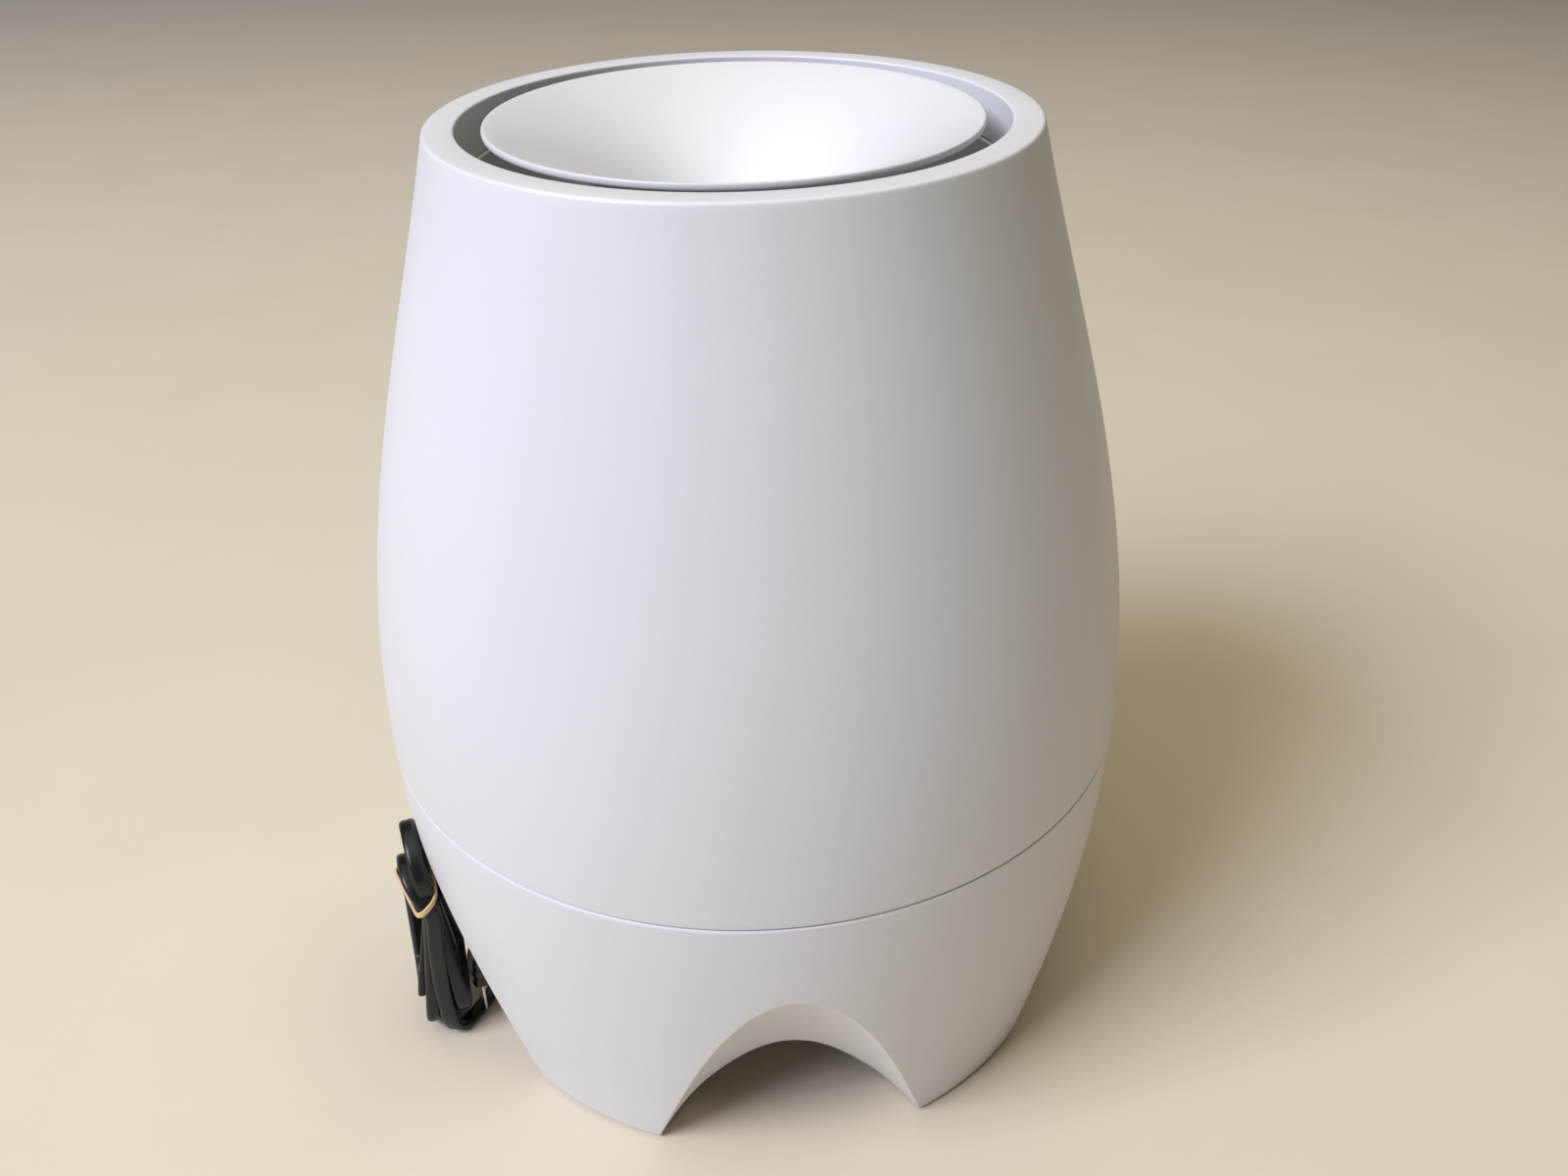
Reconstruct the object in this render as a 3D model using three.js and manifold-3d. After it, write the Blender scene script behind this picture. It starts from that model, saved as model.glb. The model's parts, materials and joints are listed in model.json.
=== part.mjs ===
// Fan-driven essential oil diffuser: a white barrel on a five-legged base, with a lift-out scent dish.
// Millimetres, +Z up. The origin is on the floor at the barrel's axis, and one arch faces -Y.
import * as THREE from "three";
import { mergeVertices } from "three/addons/utils/BufferGeometryUtils.js";
import Module from "manifold-3d";

const wasm = await Module();
wasm.setup();

// ---------------------------------------------------------------- driving dimensions
const HEIGHT = 350;
const GAP = 0.3; // clearance kept between pieces that touch
const WALL = 3;
const FACETS = 40; // sides of the outer round pieces
const INNER_FACETS = 30;
const SMALL_FACETS = 16;
const SCREW_FACETS = 8;

// Barrel radius as a quartic in t = z / HEIGHT: 126 at the floor, 142 at the belly, 98 at the rim.
const BARREL_COEFFICIENTS = [126, 62, 20, -251, 141];

const FOOT_HEIGHT = 1.5; // underside of the legs
const SEAM_Z = 131; // top edge of the base
const SEAM_GAP = 0.7;
const RIM_INNER = 88;
const RIM_DEPTH = 16; // depth of the straight wall inside the rim

const ARCH_COUNT = 5;
const ARCH_STEP = 360 / ARCH_COUNT;
const ARCH_OUTER = { reach: 140.4, top: 95.4, foot: 115.7, half: 50.6 };
const ARCH_INNER = { reach: 106, top: 36, foot: 98.2, half: 40 };
const HOOD_RISE = 5; // the hood over an arch, measured upwards and sideways
const HOOD_SIDE = 3;
const SKIRT_INNER = 106;
const SKIRT_OUTER = 109;

const PAN_Z = 38.3; // underside of the intake pan
const PAN_TOP = PAN_Z + WALL;
const PAN_RADIUS = 105.2;
const INTAKE_RADIUS = 50;
const DUCT_INNER = 57.5;
const DUCT_OUTER = 60;
const DECK_Z = 121.7;
const SPIGOT_TOP = 138;
const BARREL_FLOOR_Z = 138.6;
const SPIDER_Z = 250.3;
const SPIDER_TOP = 256.1;
const THROAT_Z = 296;

const DISH = { lip: 80, top: 349.7, depth: 56, well: 9, wall: 2.4, hole: 4 };
const DIAL_Z = 95;
const POCKET = { radius: 21.5, floor: 126.7 }; // round pocket of the dial, its floor measured along +Y
const FAN_BLADES = 7;

const CORD = { width: 6, thickness: 3.2 };
const CORD_AZIMUTH = -80;
const GLAND = { reach: 78, tilt: 45, inner: -8, face: 12.5, tip: 30 };
// The hank is a slab that stands in front of the left arch. Its two faces lean, so that it is deeper at the
// foot, and its outline has a waist where the band holds it.
const HANK = {
  azimuth: -73.5, height: 97, innerFoot: 131.3, innerTop: 140.9, outerFoot: 154.3, outerTop: 149.7,
  low: 22, corner: 12, waist: 14, waistZ: 61, high: 18,
};
const PLUG = { azimuth: -69.8, reach: 122.3, length: 20, width: 12, low: 18.3, high: 42 };

// ---------------------------------------------------------------- materials
const finish = (color, roughness, metalness = 0) =>
  new THREE.MeshStandardMaterial({ color, roughness, metalness });
const WHITE = finish(0xe7e6ec, 0.48);
const INNER_WHITE = finish(0xd9d9dc, 0.6);
const GREY = finish(0x8f9296, 0.6);
const BLACK = finish(0x15191b, 0.5);
const RUBBER = finish(0x2b2c2e, 0.85);
const STEEL = finish(0xb9bcc0, 0.3, 1);
const BRASS = finish(0xc9a24a, 0.35, 1);
const FELT = finish(0xd8cdb8, 0.95);
const FOAM = finish(0x3c3f42, 0.95);
const BOARD_GREEN = finish(0x1f6a43, 0.55);
const COPPER = finish(0xb5683a, 0.45, 0.7);
const TAN = finish(0xe9c28a, 0.6);

// ---------------------------------------------------------------- helpers
const radians = THREE.MathUtils.degToRad;

function barrelRadius(z) {
  const t = z / HEIGHT;
  return BARREL_COEFFICIENTS.reduceRight((sum, c) => sum * t + c, 0);
}

// Points (radius - inset, z) of the barrel between two heights.
function barrelLine(fromZ, toZ, steps, inset = 0) {
  return Array.from({ length: steps + 1 }, (_, i) => {
    const z = fromZ + ((toZ - fromZ) * i) / steps;
    return [barrelRadius(z) - inset, z];
  });
}

// A point at a reach from the axis, at an azimuth that is 0 towards -Y and grows towards +X.
function polar(reach, azimuth, z) {
  const a = radians(azimuth);
  return new THREE.Vector3(reach * Math.sin(a), -reach * Math.cos(a), z);
}

// Revolves an outline of [radius, z] about Z. The outline closes on itself or on the axis.
function turned(outline, facets = FACETS) {
  const closed = outline[0][0] > 0 ? [...outline, outline[0]] : outline;
  const area = closed.reduce((sum, [r, z], i) => {
    const [nextR, nextZ] = closed[(i + 1) % closed.length];
    return sum + r * nextZ - nextR * z;
  }, 0);
  const ordered = area > 0 ? closed : [...closed].reverse();
  const points = ordered.map(([r, z]) => new THREE.Vector2(r, z));
  return new THREE.LatheGeometry(points, facets).rotateX(Math.PI / 2);
}

const ring = (inner, outer, low, high, facets) =>
  turned([[inner, low], [outer, low], [outer, high], [inner, high]], facets);

const disc = (radius, low, high, facets) =>
  turned([[0, low], [radius, low], [radius, high], [0, high]], facets);

function block(width, depth, height, x, y, z) {
  return new THREE.BoxGeometry(width, depth, height).translate(x, y, z);
}

// A geometry as a manifold solid, and back.
function solid(geometry) {
  const bare = new THREE.BufferGeometry();
  const source = geometry.index ? geometry.toNonIndexed() : geometry;
  bare.setAttribute("position", source.getAttribute("position"));
  const merged = mergeVertices(bare, 1e-4);
  return new wasm.Manifold(
    new wasm.Mesh({
      numProp: 3,
      vertProperties: merged.attributes.position.array,
      triVerts: new Uint32Array(merged.index.array),
    }),
  );
}

function geometryOf(made) {
  const { vertProperties, triVerts } = made.getMesh();
  return new THREE.BufferGeometry()
    .setAttribute("position", new THREE.BufferAttribute(vertProperties, 3))
    .setIndex(new THREE.BufferAttribute(triVerts, 1));
}

const joined = (...geometries) => geometries.map(solid).reduce((sum, next) => sum.add(next));
const cut = (made, ...geometries) =>
  geometries.map(solid).reduce((left, next) => left.subtract(next), made);

function part(name, shape, material) {
  const geometry = shape.isBufferGeometry ? shape : geometryOf(shape);
  const mesh = new THREE.Mesh(geometry, material);
  mesh.name = name;
  return mesh;
}

// Offsets an open line of [radius, z] to its right by a distance.
function offsetLine(line, distance) {
  return line.map(([r, z], i) => {
    const [r0, z0] = line[Math.max(i - 1, 0)];
    const [r1, z1] = line[Math.min(i + 1, line.length - 1)];
    const length = Math.hypot(r1 - r0, z1 - z0);
    return [r + ((z1 - z0) * distance) / length, z - ((r1 - r0) * distance) / length];
  });
}

// A pan-head screw that points up, with its head below z.
function screw(name, x, y, z, shank, headRadius = 3.2) {
  const outline = [
    [0, z - 1.8], [headRadius * 0.8, z - 1.8], [headRadius, z - 1], [headRadius, z],
    [shank.radius, z], [shank.radius, z + shank.length], [0, z + shank.length],
  ];
  const mesh = part(name, turned(outline, SCREW_FACETS), STEEL);
  mesh.position.set(x, y, 0);
  return mesh;
}

// ---------------------------------------------------------------- base
// The space of one arch: parabolic sections that grow evenly outwards, from the skirt to the barrel wall.
function archSpace(rise, side) {
  const growTop = (ARCH_OUTER.top - ARCH_INNER.top) / (ARCH_OUTER.reach - ARCH_INNER.reach);
  const growHalf = (ARCH_OUTER.half - ARCH_INNER.half) / (ARCH_OUTER.foot - ARCH_INNER.foot);
  const near = 98;
  const far = 150;
  const steps = 10;
  const depthSteps = 3;
  const spread = 1.12; // carries the parabola a little below the floor
  const section = new THREE.Shape();
  for (let i = 0; i <= steps; i += 1) {
    const t = spread * (1 - (2 * i) / steps);
    section[i ? "lineTo" : "moveTo"](t, 1 - t * t);
  }
  const options = { depth: far - near, steps: depthSteps, bevelEnabled: false };
  const geometry = new THREE.ExtrudeGeometry(section, options);
  const position = geometry.getAttribute("position");
  for (let i = 0; i < position.count; i += 1) {
    const reach = near + position.getZ(i);
    const top = ARCH_INNER.top + growTop * (reach - ARCH_INNER.reach) + rise;
    const half = ARCH_INNER.half + growHalf * (reach - ARCH_INNER.foot) + side;
    position.setXYZ(i, position.getX(i) * half, -reach, position.getY(i) * top);
  }
  return geometry;
}

// Turns a piece made about Z so that its axis runs along +Y at the dial's height.
const alongDial = (geometry) => geometry.rotateX(-Math.PI / 2).translate(0, 0, DIAL_Z);

function baseShell() {
  const top = SEAM_Z;
  const whole = [[0, FOOT_HEIGHT], ...barrelLine(FOOT_HEIGHT, top, 5), [0, top]];
  const hollow = [[0, -9], ...barrelLine(-9, top + 9, 5, WALL), [0, top + 9]];
  const between = [
    [SKIRT_INNER, FOOT_HEIGHT], ...barrelLine(FOOT_HEIGHT, top - 4, 5, 1), [SKIRT_INNER, top - 4],
  ];
  const space = solid(turned(between));
  let shell = cut(solid(turned(whole)), turned(hollow));
  shell = shell.add(solid(ring(SKIRT_INNER, SKIRT_OUTER, FOOT_HEIGHT, PAN_TOP)));
  const legFloor = ring(SKIRT_INNER, barrelRadius(FOOT_HEIGHT) - 1, FOOT_HEIGHT, FOOT_HEIGHT + WALL);
  shell = shell.add(solid(legFloor));
  shell = shell.add(solid(ring(133, barrelRadius(DECK_Z) - 1, DECK_Z - 3.3, DECK_Z - GAP)));
  for (let i = 0; i < ARCH_COUNT; i += 1) {
    const hood = archSpace(HOOD_RISE, HOOD_SIDE).rotateZ(radians(i * ARCH_STEP));
    shell = shell.add(solid(hood).intersect(space));
  }
  for (let i = 0; i < ARCH_COUNT; i += 1) {
    shell = shell.subtract(solid(archSpace(0, 0).rotateZ(radians(i * ARCH_STEP))));
  }
  const pocket = alongDial(disc(POCKET.radius + 2.5, POCKET.floor - WALL, 160, INNER_FACETS));
  shell = shell.add(solid(pocket).intersect(space));
  const pocketSpace = alongDial(disc(POCKET.radius, POCKET.floor, 160, INNER_FACETS));
  const dialHole = alongDial(disc(4.6, POCKET.floor - 10, 160, SMALL_FACETS));
  return part("base_shell", cut(shell, pocketSpace, dialHole), WHITE);
}

function baseDeck() {
  const outer = 137.6;
  const outline = [
    [61, DECK_Z], [outer, DECK_Z], [outer, SPIGOT_TOP], [outer - 2.8, SPIGOT_TOP],
    [outer - 2.8, DECK_Z + WALL], [64, DECK_Z + WALL], [64, 130], [61, 130],
  ];
  return part("base_deck", turned(outline, INNER_FACETS), INNER_WHITE);
}

const BOARD_POSTS = [[-33, 74], [33, 74], [-33, 93], [33, 93]];
const GRILLE_SCREW_REACH = 54.5;
const GRILLE_SCREW_ANGLES = [60, 180, 300];

// The gland's own frame: along X from the pan's mid-plane outwards and down, then turned to its azimuth.
function alongGland(geometry) {
  return geometry
    .rotateY(Math.PI / 2 + radians(GLAND.tilt))
    .translate(GLAND.reach, 0, PAN_Z + WALL / 2)
    .rotateZ(radians(CORD_AZIMUTH - 90));
}

function intakePan() {
  const outline = [
    [INTAKE_RADIUS, PAN_Z], [PAN_RADIUS, PAN_Z], [PAN_RADIUS, PAN_TOP], [59.4, PAN_TOP],
    [59.4, 48.7], [56, 48.7], [56, PAN_TOP], [INTAKE_RADIUS, PAN_TOP],
  ];
  let pan = solid(turned(outline, INNER_FACETS));
  for (const [x, y] of BOARD_POSTS) {
    pan = pan.add(solid(disc(3, PAN_TOP - 1, 55.7, 8).translate(x, y, 0)));
    pan = cut(pan, disc(1.7, 50, 60, 8).translate(x, y, 0));
  }
  pan = pan.add(solid(alongGland(disc(9, -5, GLAND.face, SMALL_FACETS))));
  pan = cut(pan, alongGland(disc(6.3, -30, 30, SMALL_FACETS)));
  for (const angle of GRILLE_SCREW_ANGLES) {
    const { x, y } = polar(GRILLE_SCREW_REACH, angle, 0);
    pan = cut(pan, disc(2.1, 30, 45, 8).translate(x, y, 0));
  }
  return part("intake_pan", pan, INNER_WHITE);
}

function intakeGrille() {
  const low = 35;
  const high = 38;
  const middle = (low + high) / 2;
  let grille = joined(ring(48, 60, low, high, INNER_FACETS), disc(14, low, high, SMALL_FACETS));
  for (const radius of [23, 35]) {
    grille = grille.add(solid(ring(radius, radius + 2.4, low, high, SMALL_FACETS)));
  }
  for (let i = 0; i < 6; i += 1) {
    const spoke = block(37, 2.4, high - low, 31, 0, middle).rotateZ(radians(i * 60 + 15));
    grille = grille.add(solid(spoke));
  }
  for (const angle of GRILLE_SCREW_ANGLES) {
    const { x, y } = polar(GRILLE_SCREW_REACH, angle, 0);
    grille = cut(grille, disc(2.1, 30, 45, 8).translate(x, y, 0));
  }
  return part("intake_grille", grille, INNER_WHITE);
}

function intakeParts() {
  const shank = { radius: 1.6, length: 6.6 };
  const screws = GRILLE_SCREW_ANGLES.map((angle, i) => {
    const { x, y } = polar(GRILLE_SCREW_REACH, angle, 0);
    return screw(`grille_screw_${i + 1}`, x, y, 34.7, shank);
  });
  const filter = part("dust_filter", disc(55.4, PAN_TOP + GAP, 48.5, INNER_FACETS), FOAM);
  return [intakePan(), intakeGrille(), filter, ...screws];
}

function footPads() {
  const half = 9;
  const radius = 5;
  const outline = new THREE.Shape();
  outline.absarc(half, 0, radius, -Math.PI / 2, Math.PI / 2);
  outline.absarc(-half, 0, radius, Math.PI / 2, (3 * Math.PI) / 2);
  const height = FOOT_HEIGHT - GAP;
  return Array.from({ length: ARCH_COUNT }, (_, i) => {
    const azimuth = ARCH_STEP * (i + 0.5);
    const pad = new THREE.ExtrudeGeometry(outline, { depth: height, bevelEnabled: false, curveSegments: 5 });
    const mesh = part(`foot_pad_${i + 1}`, pad, RUBBER);
    mesh.position.copy(polar(116, azimuth, 0));
    mesh.rotation.z = radians(azimuth);
    return mesh;
  });
}

// ---------------------------------------------------------------- fan
const MOTOR_Z = 59.3;
const SHAFT_RADIUS = 2.5;

function fanShroud() {
  const outline = [
    [56.5, 49], [66, 49], [66, 52], [59.5, 52], [59.5, 134.9], [56.5, 134.9],
  ];
  let shroud = solid(turned(outline, INNER_FACETS)).add(solid(disc(23, 56, MOTOR_Z - GAP, 24)));
  for (let i = 0; i < 4; i += 1) {
    const arm = block(38, 3, 8, 38.5, 0, 60).rotateZ(radians(i * 90));
    shroud = shroud.add(solid(arm));
  }
  const clearMotor = disc(20.5, MOTOR_Z - GAP, 90, 24);
  const leadHole = disc(3, 50, 65, 12).rotateX(-Math.PI / 2).translate(0, 0, 66);
  return part("fan_shroud", cut(shroud, clearMotor, leadHole), INNER_WHITE);
}

function motorHousing() {
  const outline = [
    [0, MOTOR_Z], [18.5, MOTOR_Z], [20, MOTOR_Z + 1.5], [20, 81.5], [18, 84], [7, 84], [7, 85.2],
    [4, 85.2], [4, MOTOR_Z + 3], [0, MOTOR_Z + 3],
  ];
  return part("motor_housing", turned(outline, 24), STEEL);
}

function blade() {
  const outline = new THREE.Shape();
  const radius = 38;
  const half = radians(22);
  const thickness = 1.8;
  const steps = 4;
  for (let i = 0; i <= steps; i += 1) {
    const a = -half + (2 * half * i) / steps;
    outline[i ? "lineTo" : "moveTo"](radius * Math.sin(a), radius * (Math.cos(a) - 1));
  }
  for (let i = steps; i >= 0; i -= 1) {
    const a = -half + (2 * half * i) / steps;
    const inner = radius - thickness;
    outline.lineTo(inner * Math.sin(a), inner * Math.cos(a) - radius);
  }
  const options = { depth: 33, bevelEnabled: false };
  // The section stands across the radius, pitched 38 degrees to the plane of rotation.
  return new THREE.ExtrudeGeometry(outline, options)
    .rotateZ(radians(38))
    .rotateX(Math.PI / 2)
    .rotateZ(Math.PI / 2)
    .translate(22.6, 0, 99);
}

function impeller() {
  const outline = [
    [2.8, 90], [7, 90], [7, 107.5], [21, 107.5], [21, 86.5], [24, 86.5], [24, 106],
    [21.5, 110], [14, 112], [2.8, 112],
  ];
  let wheel = solid(turned(outline, 24));
  const inside = solid(ring(22.5, 54.5, 86.8, 111, INNER_FACETS));
  for (let i = 0; i < FAN_BLADES; i += 1) {
    const turnedBlade = blade().rotateZ(radians((i * 360) / FAN_BLADES));
    wheel = wheel.add(solid(turnedBlade).intersect(inside));
  }
  return part("impeller", wheel, GREY);
}

function fanParts() {
  const nut = cut(
    solid(new THREE.CylinderGeometry(5.6, 5.6, 3.6, 6).rotateX(Math.PI / 2).translate(0, 0, 114.2)),
    disc(SHAFT_RADIUS + GAP, 110, 118, SMALL_FACETS),
  );
  return [
    impeller(),
    part("motor_shaft", disc(SHAFT_RADIUS, 63, 117, SMALL_FACETS), STEEL),
    part("impeller_nut", nut, BRASS),
  ];
}

// ---------------------------------------------------------------- electronics and speed dial
const BOARD_Z = 56;
const BOARD_TOP = 57.6;

function controlBoard() {
  let board = solid(block(76, 28, BOARD_TOP - BOARD_Z, 0, 84, (BOARD_TOP + BOARD_Z) / 2));
  for (const [x, y] of BOARD_POSTS) board = cut(board, disc(1.9, 50, 60, 8).translate(x, y, 0));
  return part("control_board", board, BOARD_GREEN);
}

function boardScrews() {
  return BOARD_POSTS.map(([x, y], i) => {
    const mesh = screw(`board_screw_${i + 1}`, 0, 0, 0, { radius: 1.4, length: 6 }, 2.8);
    mesh.rotation.x = Math.PI;
    mesh.position.set(x, y, BOARD_TOP + GAP);
    return mesh;
  });
}

function terminalBlock() {
  let body = solid(block(22, 9, 10, -18, 88, BOARD_TOP + GAP + 5));
  for (const x of [-25, -18, -11]) body = cut(body, disc(1.8, 64, 70, 12).translate(x, 88, 0));
  return part("terminal_block", body, GREY);
}

function electronics() {
  const low = BOARD_TOP + GAP;
  const core = block(26, 10, 22, 10, 84, low + 11);
  const coil = block(16, 20, 14, 10, 84, low + 11);
  const can = turned([[0, low], [6, low], [6, 73], [5, 74], [0, 74]], SMALL_FACETS).translate(29, 82, 0);
  const face = POCKET.floor;
  const potBody = [
    [0, face - 25], [10.5, face - 25], [10.5, face - 12], [4.2, face - 12], [4.2, face + 3.4],
    [3.3, face + 3.4], [3.3, face - 20], [0, face - 20],
  ];
  const hexagon = new THREE.CylinderGeometry(7, 7, 2, 6).rotateX(Math.PI / 2);
  const nut = cut(
    solid(alongDial(hexagon.translate(0, 0, face + 1 + GAP))),
    alongDial(disc(4.5, face - 5, face + 5, SMALL_FACETS)),
  );
  return [
    controlBoard(),
    ...boardScrews(),
    terminalBlock(),
    part("transformer", joined(core, coil), COPPER),
    part("smoothing_capacitor", can, BLACK),
    part("speed_control", alongDial(turned(potBody, SMALL_FACETS)), GREY),
    part("control_nut", nut, STEEL),
  ];
}

// A flat scale ring that lies on the pocket's floor round the knob.
function dialScale() {
  const low = POCKET.floor + GAP;
  return part("dial_scale", alongDial(ring(18.6, 21.1, low, low + 1.2, INNER_FACETS)), GREY);
}

function dialParts() {
  const back = POCKET.floor + 1.6;
  const front = back + 11.1;
  const outline = [
    [3.3, back + 3.4], [9.5, back + 3.4], [9.5, back], [17.8, back], [17.4, front - 1.4],
    [16.2, front], [0, front], [0, front - 3.2], [3.3, front - 3.2],
  ];
  let knob = solid(alongDial(turned(outline, INNER_FACETS)));
  for (let i = 0; i < 8; i += 1) {
    const flute = disc(1.6, back + 4, 160, 6).translate(18.2, 0, 0).rotateZ(radians(i * 45 + 22.5));
    knob = cut(knob, alongDial(flute));
  }
  knob = cut(knob, block(1.4, 2, 9, 0, front + 0.2, DIAL_Z + 10.5));
  const shaft = disc(2.9, POCKET.floor - 19.7, front - 3.6, SMALL_FACETS);
  return [part("speed_dial", knob, WHITE), part("dial_shaft", alongDial(shaft), STEEL)];
}

// Round lead that the base holds all the way, along points chosen by hand.
function innerLead(name, points, radius, steps, material) {
  const section = new THREE.Shape();
  section.absarc(0, 0, radius, 0, 2 * Math.PI);
  const path = new THREE.CatmullRomCurve3(points);
  const lead = new THREE.ExtrudeGeometry(section, { steps, curveSegments: 3, extrudePath: path });
  return part(name, lead, material);
}

function innerLeads() {
  const inner = GLAND.inner * Math.cos(radians(GLAND.tilt));
  const start = (out) => polar(GLAND.reach + inner - out, CORD_AZIMUTH, PAN_TOP - WALL / 2 - inner + out);
  const mains = [
    start(GAP), start(4), polar(70.5, -86, 56), polar(77, -104, 60), polar(83, -124, 62),
    polar(90, -142, 63), new THREE.Vector3(-42, 88, 63), new THREE.Vector3(-29.4, 88, 63),
  ];
  const motor = [
    new THREE.Vector3(0, 20.5, 66), new THREE.Vector3(0, 34, 66), new THREE.Vector3(0, 52, 66),
    new THREE.Vector3(0, 62, 66), new THREE.Vector3(-3, 69, 63), new THREE.Vector3(-8, 75, 59.6),
  ];
  return [
    innerLead("mains_lead", mains, 2.4, 24, BLACK),
    innerLead("motor_lead", motor, 1.3, 14, RUBBER),
  ];
}

// ---------------------------------------------------------------- barrel
function bodyShell() {
  const low = SEAM_Z + SEAM_GAP;
  const top = HEIGHT;
  const outer = barrelLine(low, top - 1, 6);
  const inner = barrelLine(top - 4, 145.5, 3, WALL);
  const skirt = RIM_INNER + 2.6;
  const outline = [
    ...outer, [barrelRadius(top) - 0.8, top], [RIM_INNER + 0.6, top], [RIM_INNER, top - 0.6],
    [RIM_INNER, top - RIM_DEPTH], [skirt, top - RIM_DEPTH], [skirt, top - 4],
    ...inner, [133, 144.8], [133, BARREL_FLOOR_Z + WALL + GAP],
    ...barrelLine(BARREL_FLOOR_Z + WALL + GAP, low, 2, WALL),
  ];
  return part("body_shell", turned(outline), WHITE);
}

function outletCollar() {
  const flangeTop = HEIGHT - RIM_DEPTH - GAP;
  const reach = 86.4 - DUCT_INNER;
  const drop = flangeTop - THROAT_Z;
  const steps = 5;
  const bowl = (wall) =>
    Array.from({ length: steps + 1 }, (_, i) => {
      const a = (Math.PI / 2) * (i / steps);
      return [DUCT_INNER + (reach + wall) * Math.cos(a), flangeTop - (drop + wall) * Math.sin(a)];
    });
  const inside = bowl(0);
  const outside = bowl(2.6).filter(([r, z]) => z < flangeTop - 2.8 && r > DUCT_OUTER + 0.5);
  const outline = [
    ...inside, [DUCT_INNER, SPIDER_TOP + GAP], [DUCT_OUTER, SPIDER_TOP + GAP],
    [DUCT_OUTER, THROAT_Z - 2.6], ...outside.reverse(), [90.1, flangeTop - 2.8], [90.1, flangeTop],
  ];
  return part("outlet_collar", turned(outline, INNER_FACETS), INNER_WHITE);
}

function innerDuct() {
  const flange = BARREL_FLOOR_Z + WALL + GAP;
  const outline = [
    [DUCT_INNER, 138.3], [DUCT_OUTER, 138.3], [DUCT_OUTER, flange], [72, flange],
    [72, flange + WALL], [DUCT_OUTER, flange + WALL], [DUCT_OUTER, SPIDER_Z - GAP],
    [DUCT_INNER, SPIDER_Z - GAP],
  ];
  let duct = solid(turned(outline, INNER_FACETS));
  for (const angle of GRILLE_SCREW_ANGLES) {
    const { x, y } = polar(67, angle, 0);
    duct = cut(duct, disc(2.1, 130, 150, 8).translate(x, y, 0));
  }
  return part("inner_duct", duct, INNER_WHITE);
}

function barrelFloor() {
  let plate = solid(ring(60.4, 137.7, BARREL_FLOOR_Z, BARREL_FLOOR_Z + WALL, INNER_FACETS));
  for (const angle of GRILLE_SCREW_ANGLES) {
    const { x, y } = polar(67, angle, 0);
    plate = cut(plate, disc(2.1, 130, 150, 8).translate(x, y, 0));
  }
  return part("barrel_floor", plate, INNER_WHITE);
}

function ductScrews() {
  return GRILLE_SCREW_ANGLES.map((angle, i) => {
    const { x, y } = polar(67, angle, 0);
    const mesh = screw(`duct_screw_${i + 1}`, 0, 0, 0, { radius: 1.6, length: 6 });
    mesh.rotation.x = Math.PI;
    mesh.position.set(x, y, BARREL_FLOOR_Z + 2 * (WALL + GAP));
    return mesh;
  });
}

function padSpider() {
  const middle = (SPIDER_Z + SPIDER_TOP) / 2;
  let spider = joined(
    ring(DUCT_INNER, DUCT_OUTER, SPIDER_Z, SPIDER_TOP, INNER_FACETS),
    ring(22, 28, SPIDER_Z, SPIDER_TOP, 24),
  );
  for (let i = 0; i < 3; i += 1) {
    const arm = block(32, 3, SPIDER_TOP - SPIDER_Z, 42.5, 0, middle).rotateZ(radians(i * 120 + 90));
    spider = spider.add(solid(arm));
  }
  return part("pad_spider", spider, INNER_WHITE);
}

// ---------------------------------------------------------------- scent dish
// Trumpet line from the lip to the well: a gentle slope at the lip that steepens towards the well.
function dishLine(steps) {
  const run = DISH.lip - 1.2 - DISH.well;
  return Array.from({ length: steps + 1 }, (_, i) => {
    const u = 0.985 * Math.sin((Math.PI / 2) * (i / steps));
    const sink = 0.6 * (1 - Math.sqrt(1 - u * u)) + 0.4 * u;
    return [DISH.lip - 1.2 - run * u, DISH.top - DISH.depth * sink];
  });
}

const DISH_FLOOR = DISH.top - DISH.depth;

function dishParts() {
  const upper = dishLine(7);
  const under = offsetLine(upper, -DISH.wall).filter(([, z]) => z > DISH_FLOOR - DISH.wall + 1);
  const floor = DISH_FLOOR - DISH.wall;
  const lip = [[DISH.lip, DISH.top - 1], [DISH.lip - 0.1, DISH.top - 1.9]];
  const outline = [
    [DISH.hole, DISH_FLOOR], [DISH.well, DISH_FLOOR], ...[...upper].reverse(), ...lip,
    ...under.slice(1), [DISH.well + 3, floor], [9.6, floor - 8], [7.4, floor - 8],
    [7.4, floor], [DISH.hole, floor],
  ];
  const trayWall = 33;
  const trayFloor = SPIDER_TOP + GAP;
  const tray = [
    [0, trayFloor], [trayWall, trayFloor], [trayWall, 269], [trayWall - 2, 269],
    [trayWall - 2, trayFloor + 2.5], [9.6, trayFloor + 2.5], [9.6, 264], [7.4, 264],
    [7.4, trayFloor + 2.5], [0, trayFloor + 2.5],
  ];
  const sealRing = Array.from({ length: 8 }, (_, i) => {
    const a = (i / 8) * 2 * Math.PI;
    return [8.6 + 1.2 * Math.cos(a), floor - 10 + 1.2 * Math.sin(a)];
  });
  return [
    part("scent_dish", turned(outline, INNER_FACETS), WHITE),
    part("drip_stem", ring(4.4, 7.1, trayFloor + 2.8, floor - GAP, SMALL_FACETS), INNER_WHITE),
    part("stem_seal", turned(sealRing, 16), RUBBER),
    part("pad_tray", turned(tray, 28), INNER_WHITE),
    part("oil_pad", ring(10, 30.6, trayFloor + 2.8, 266.2, 28), FELT),
  ];
}

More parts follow.
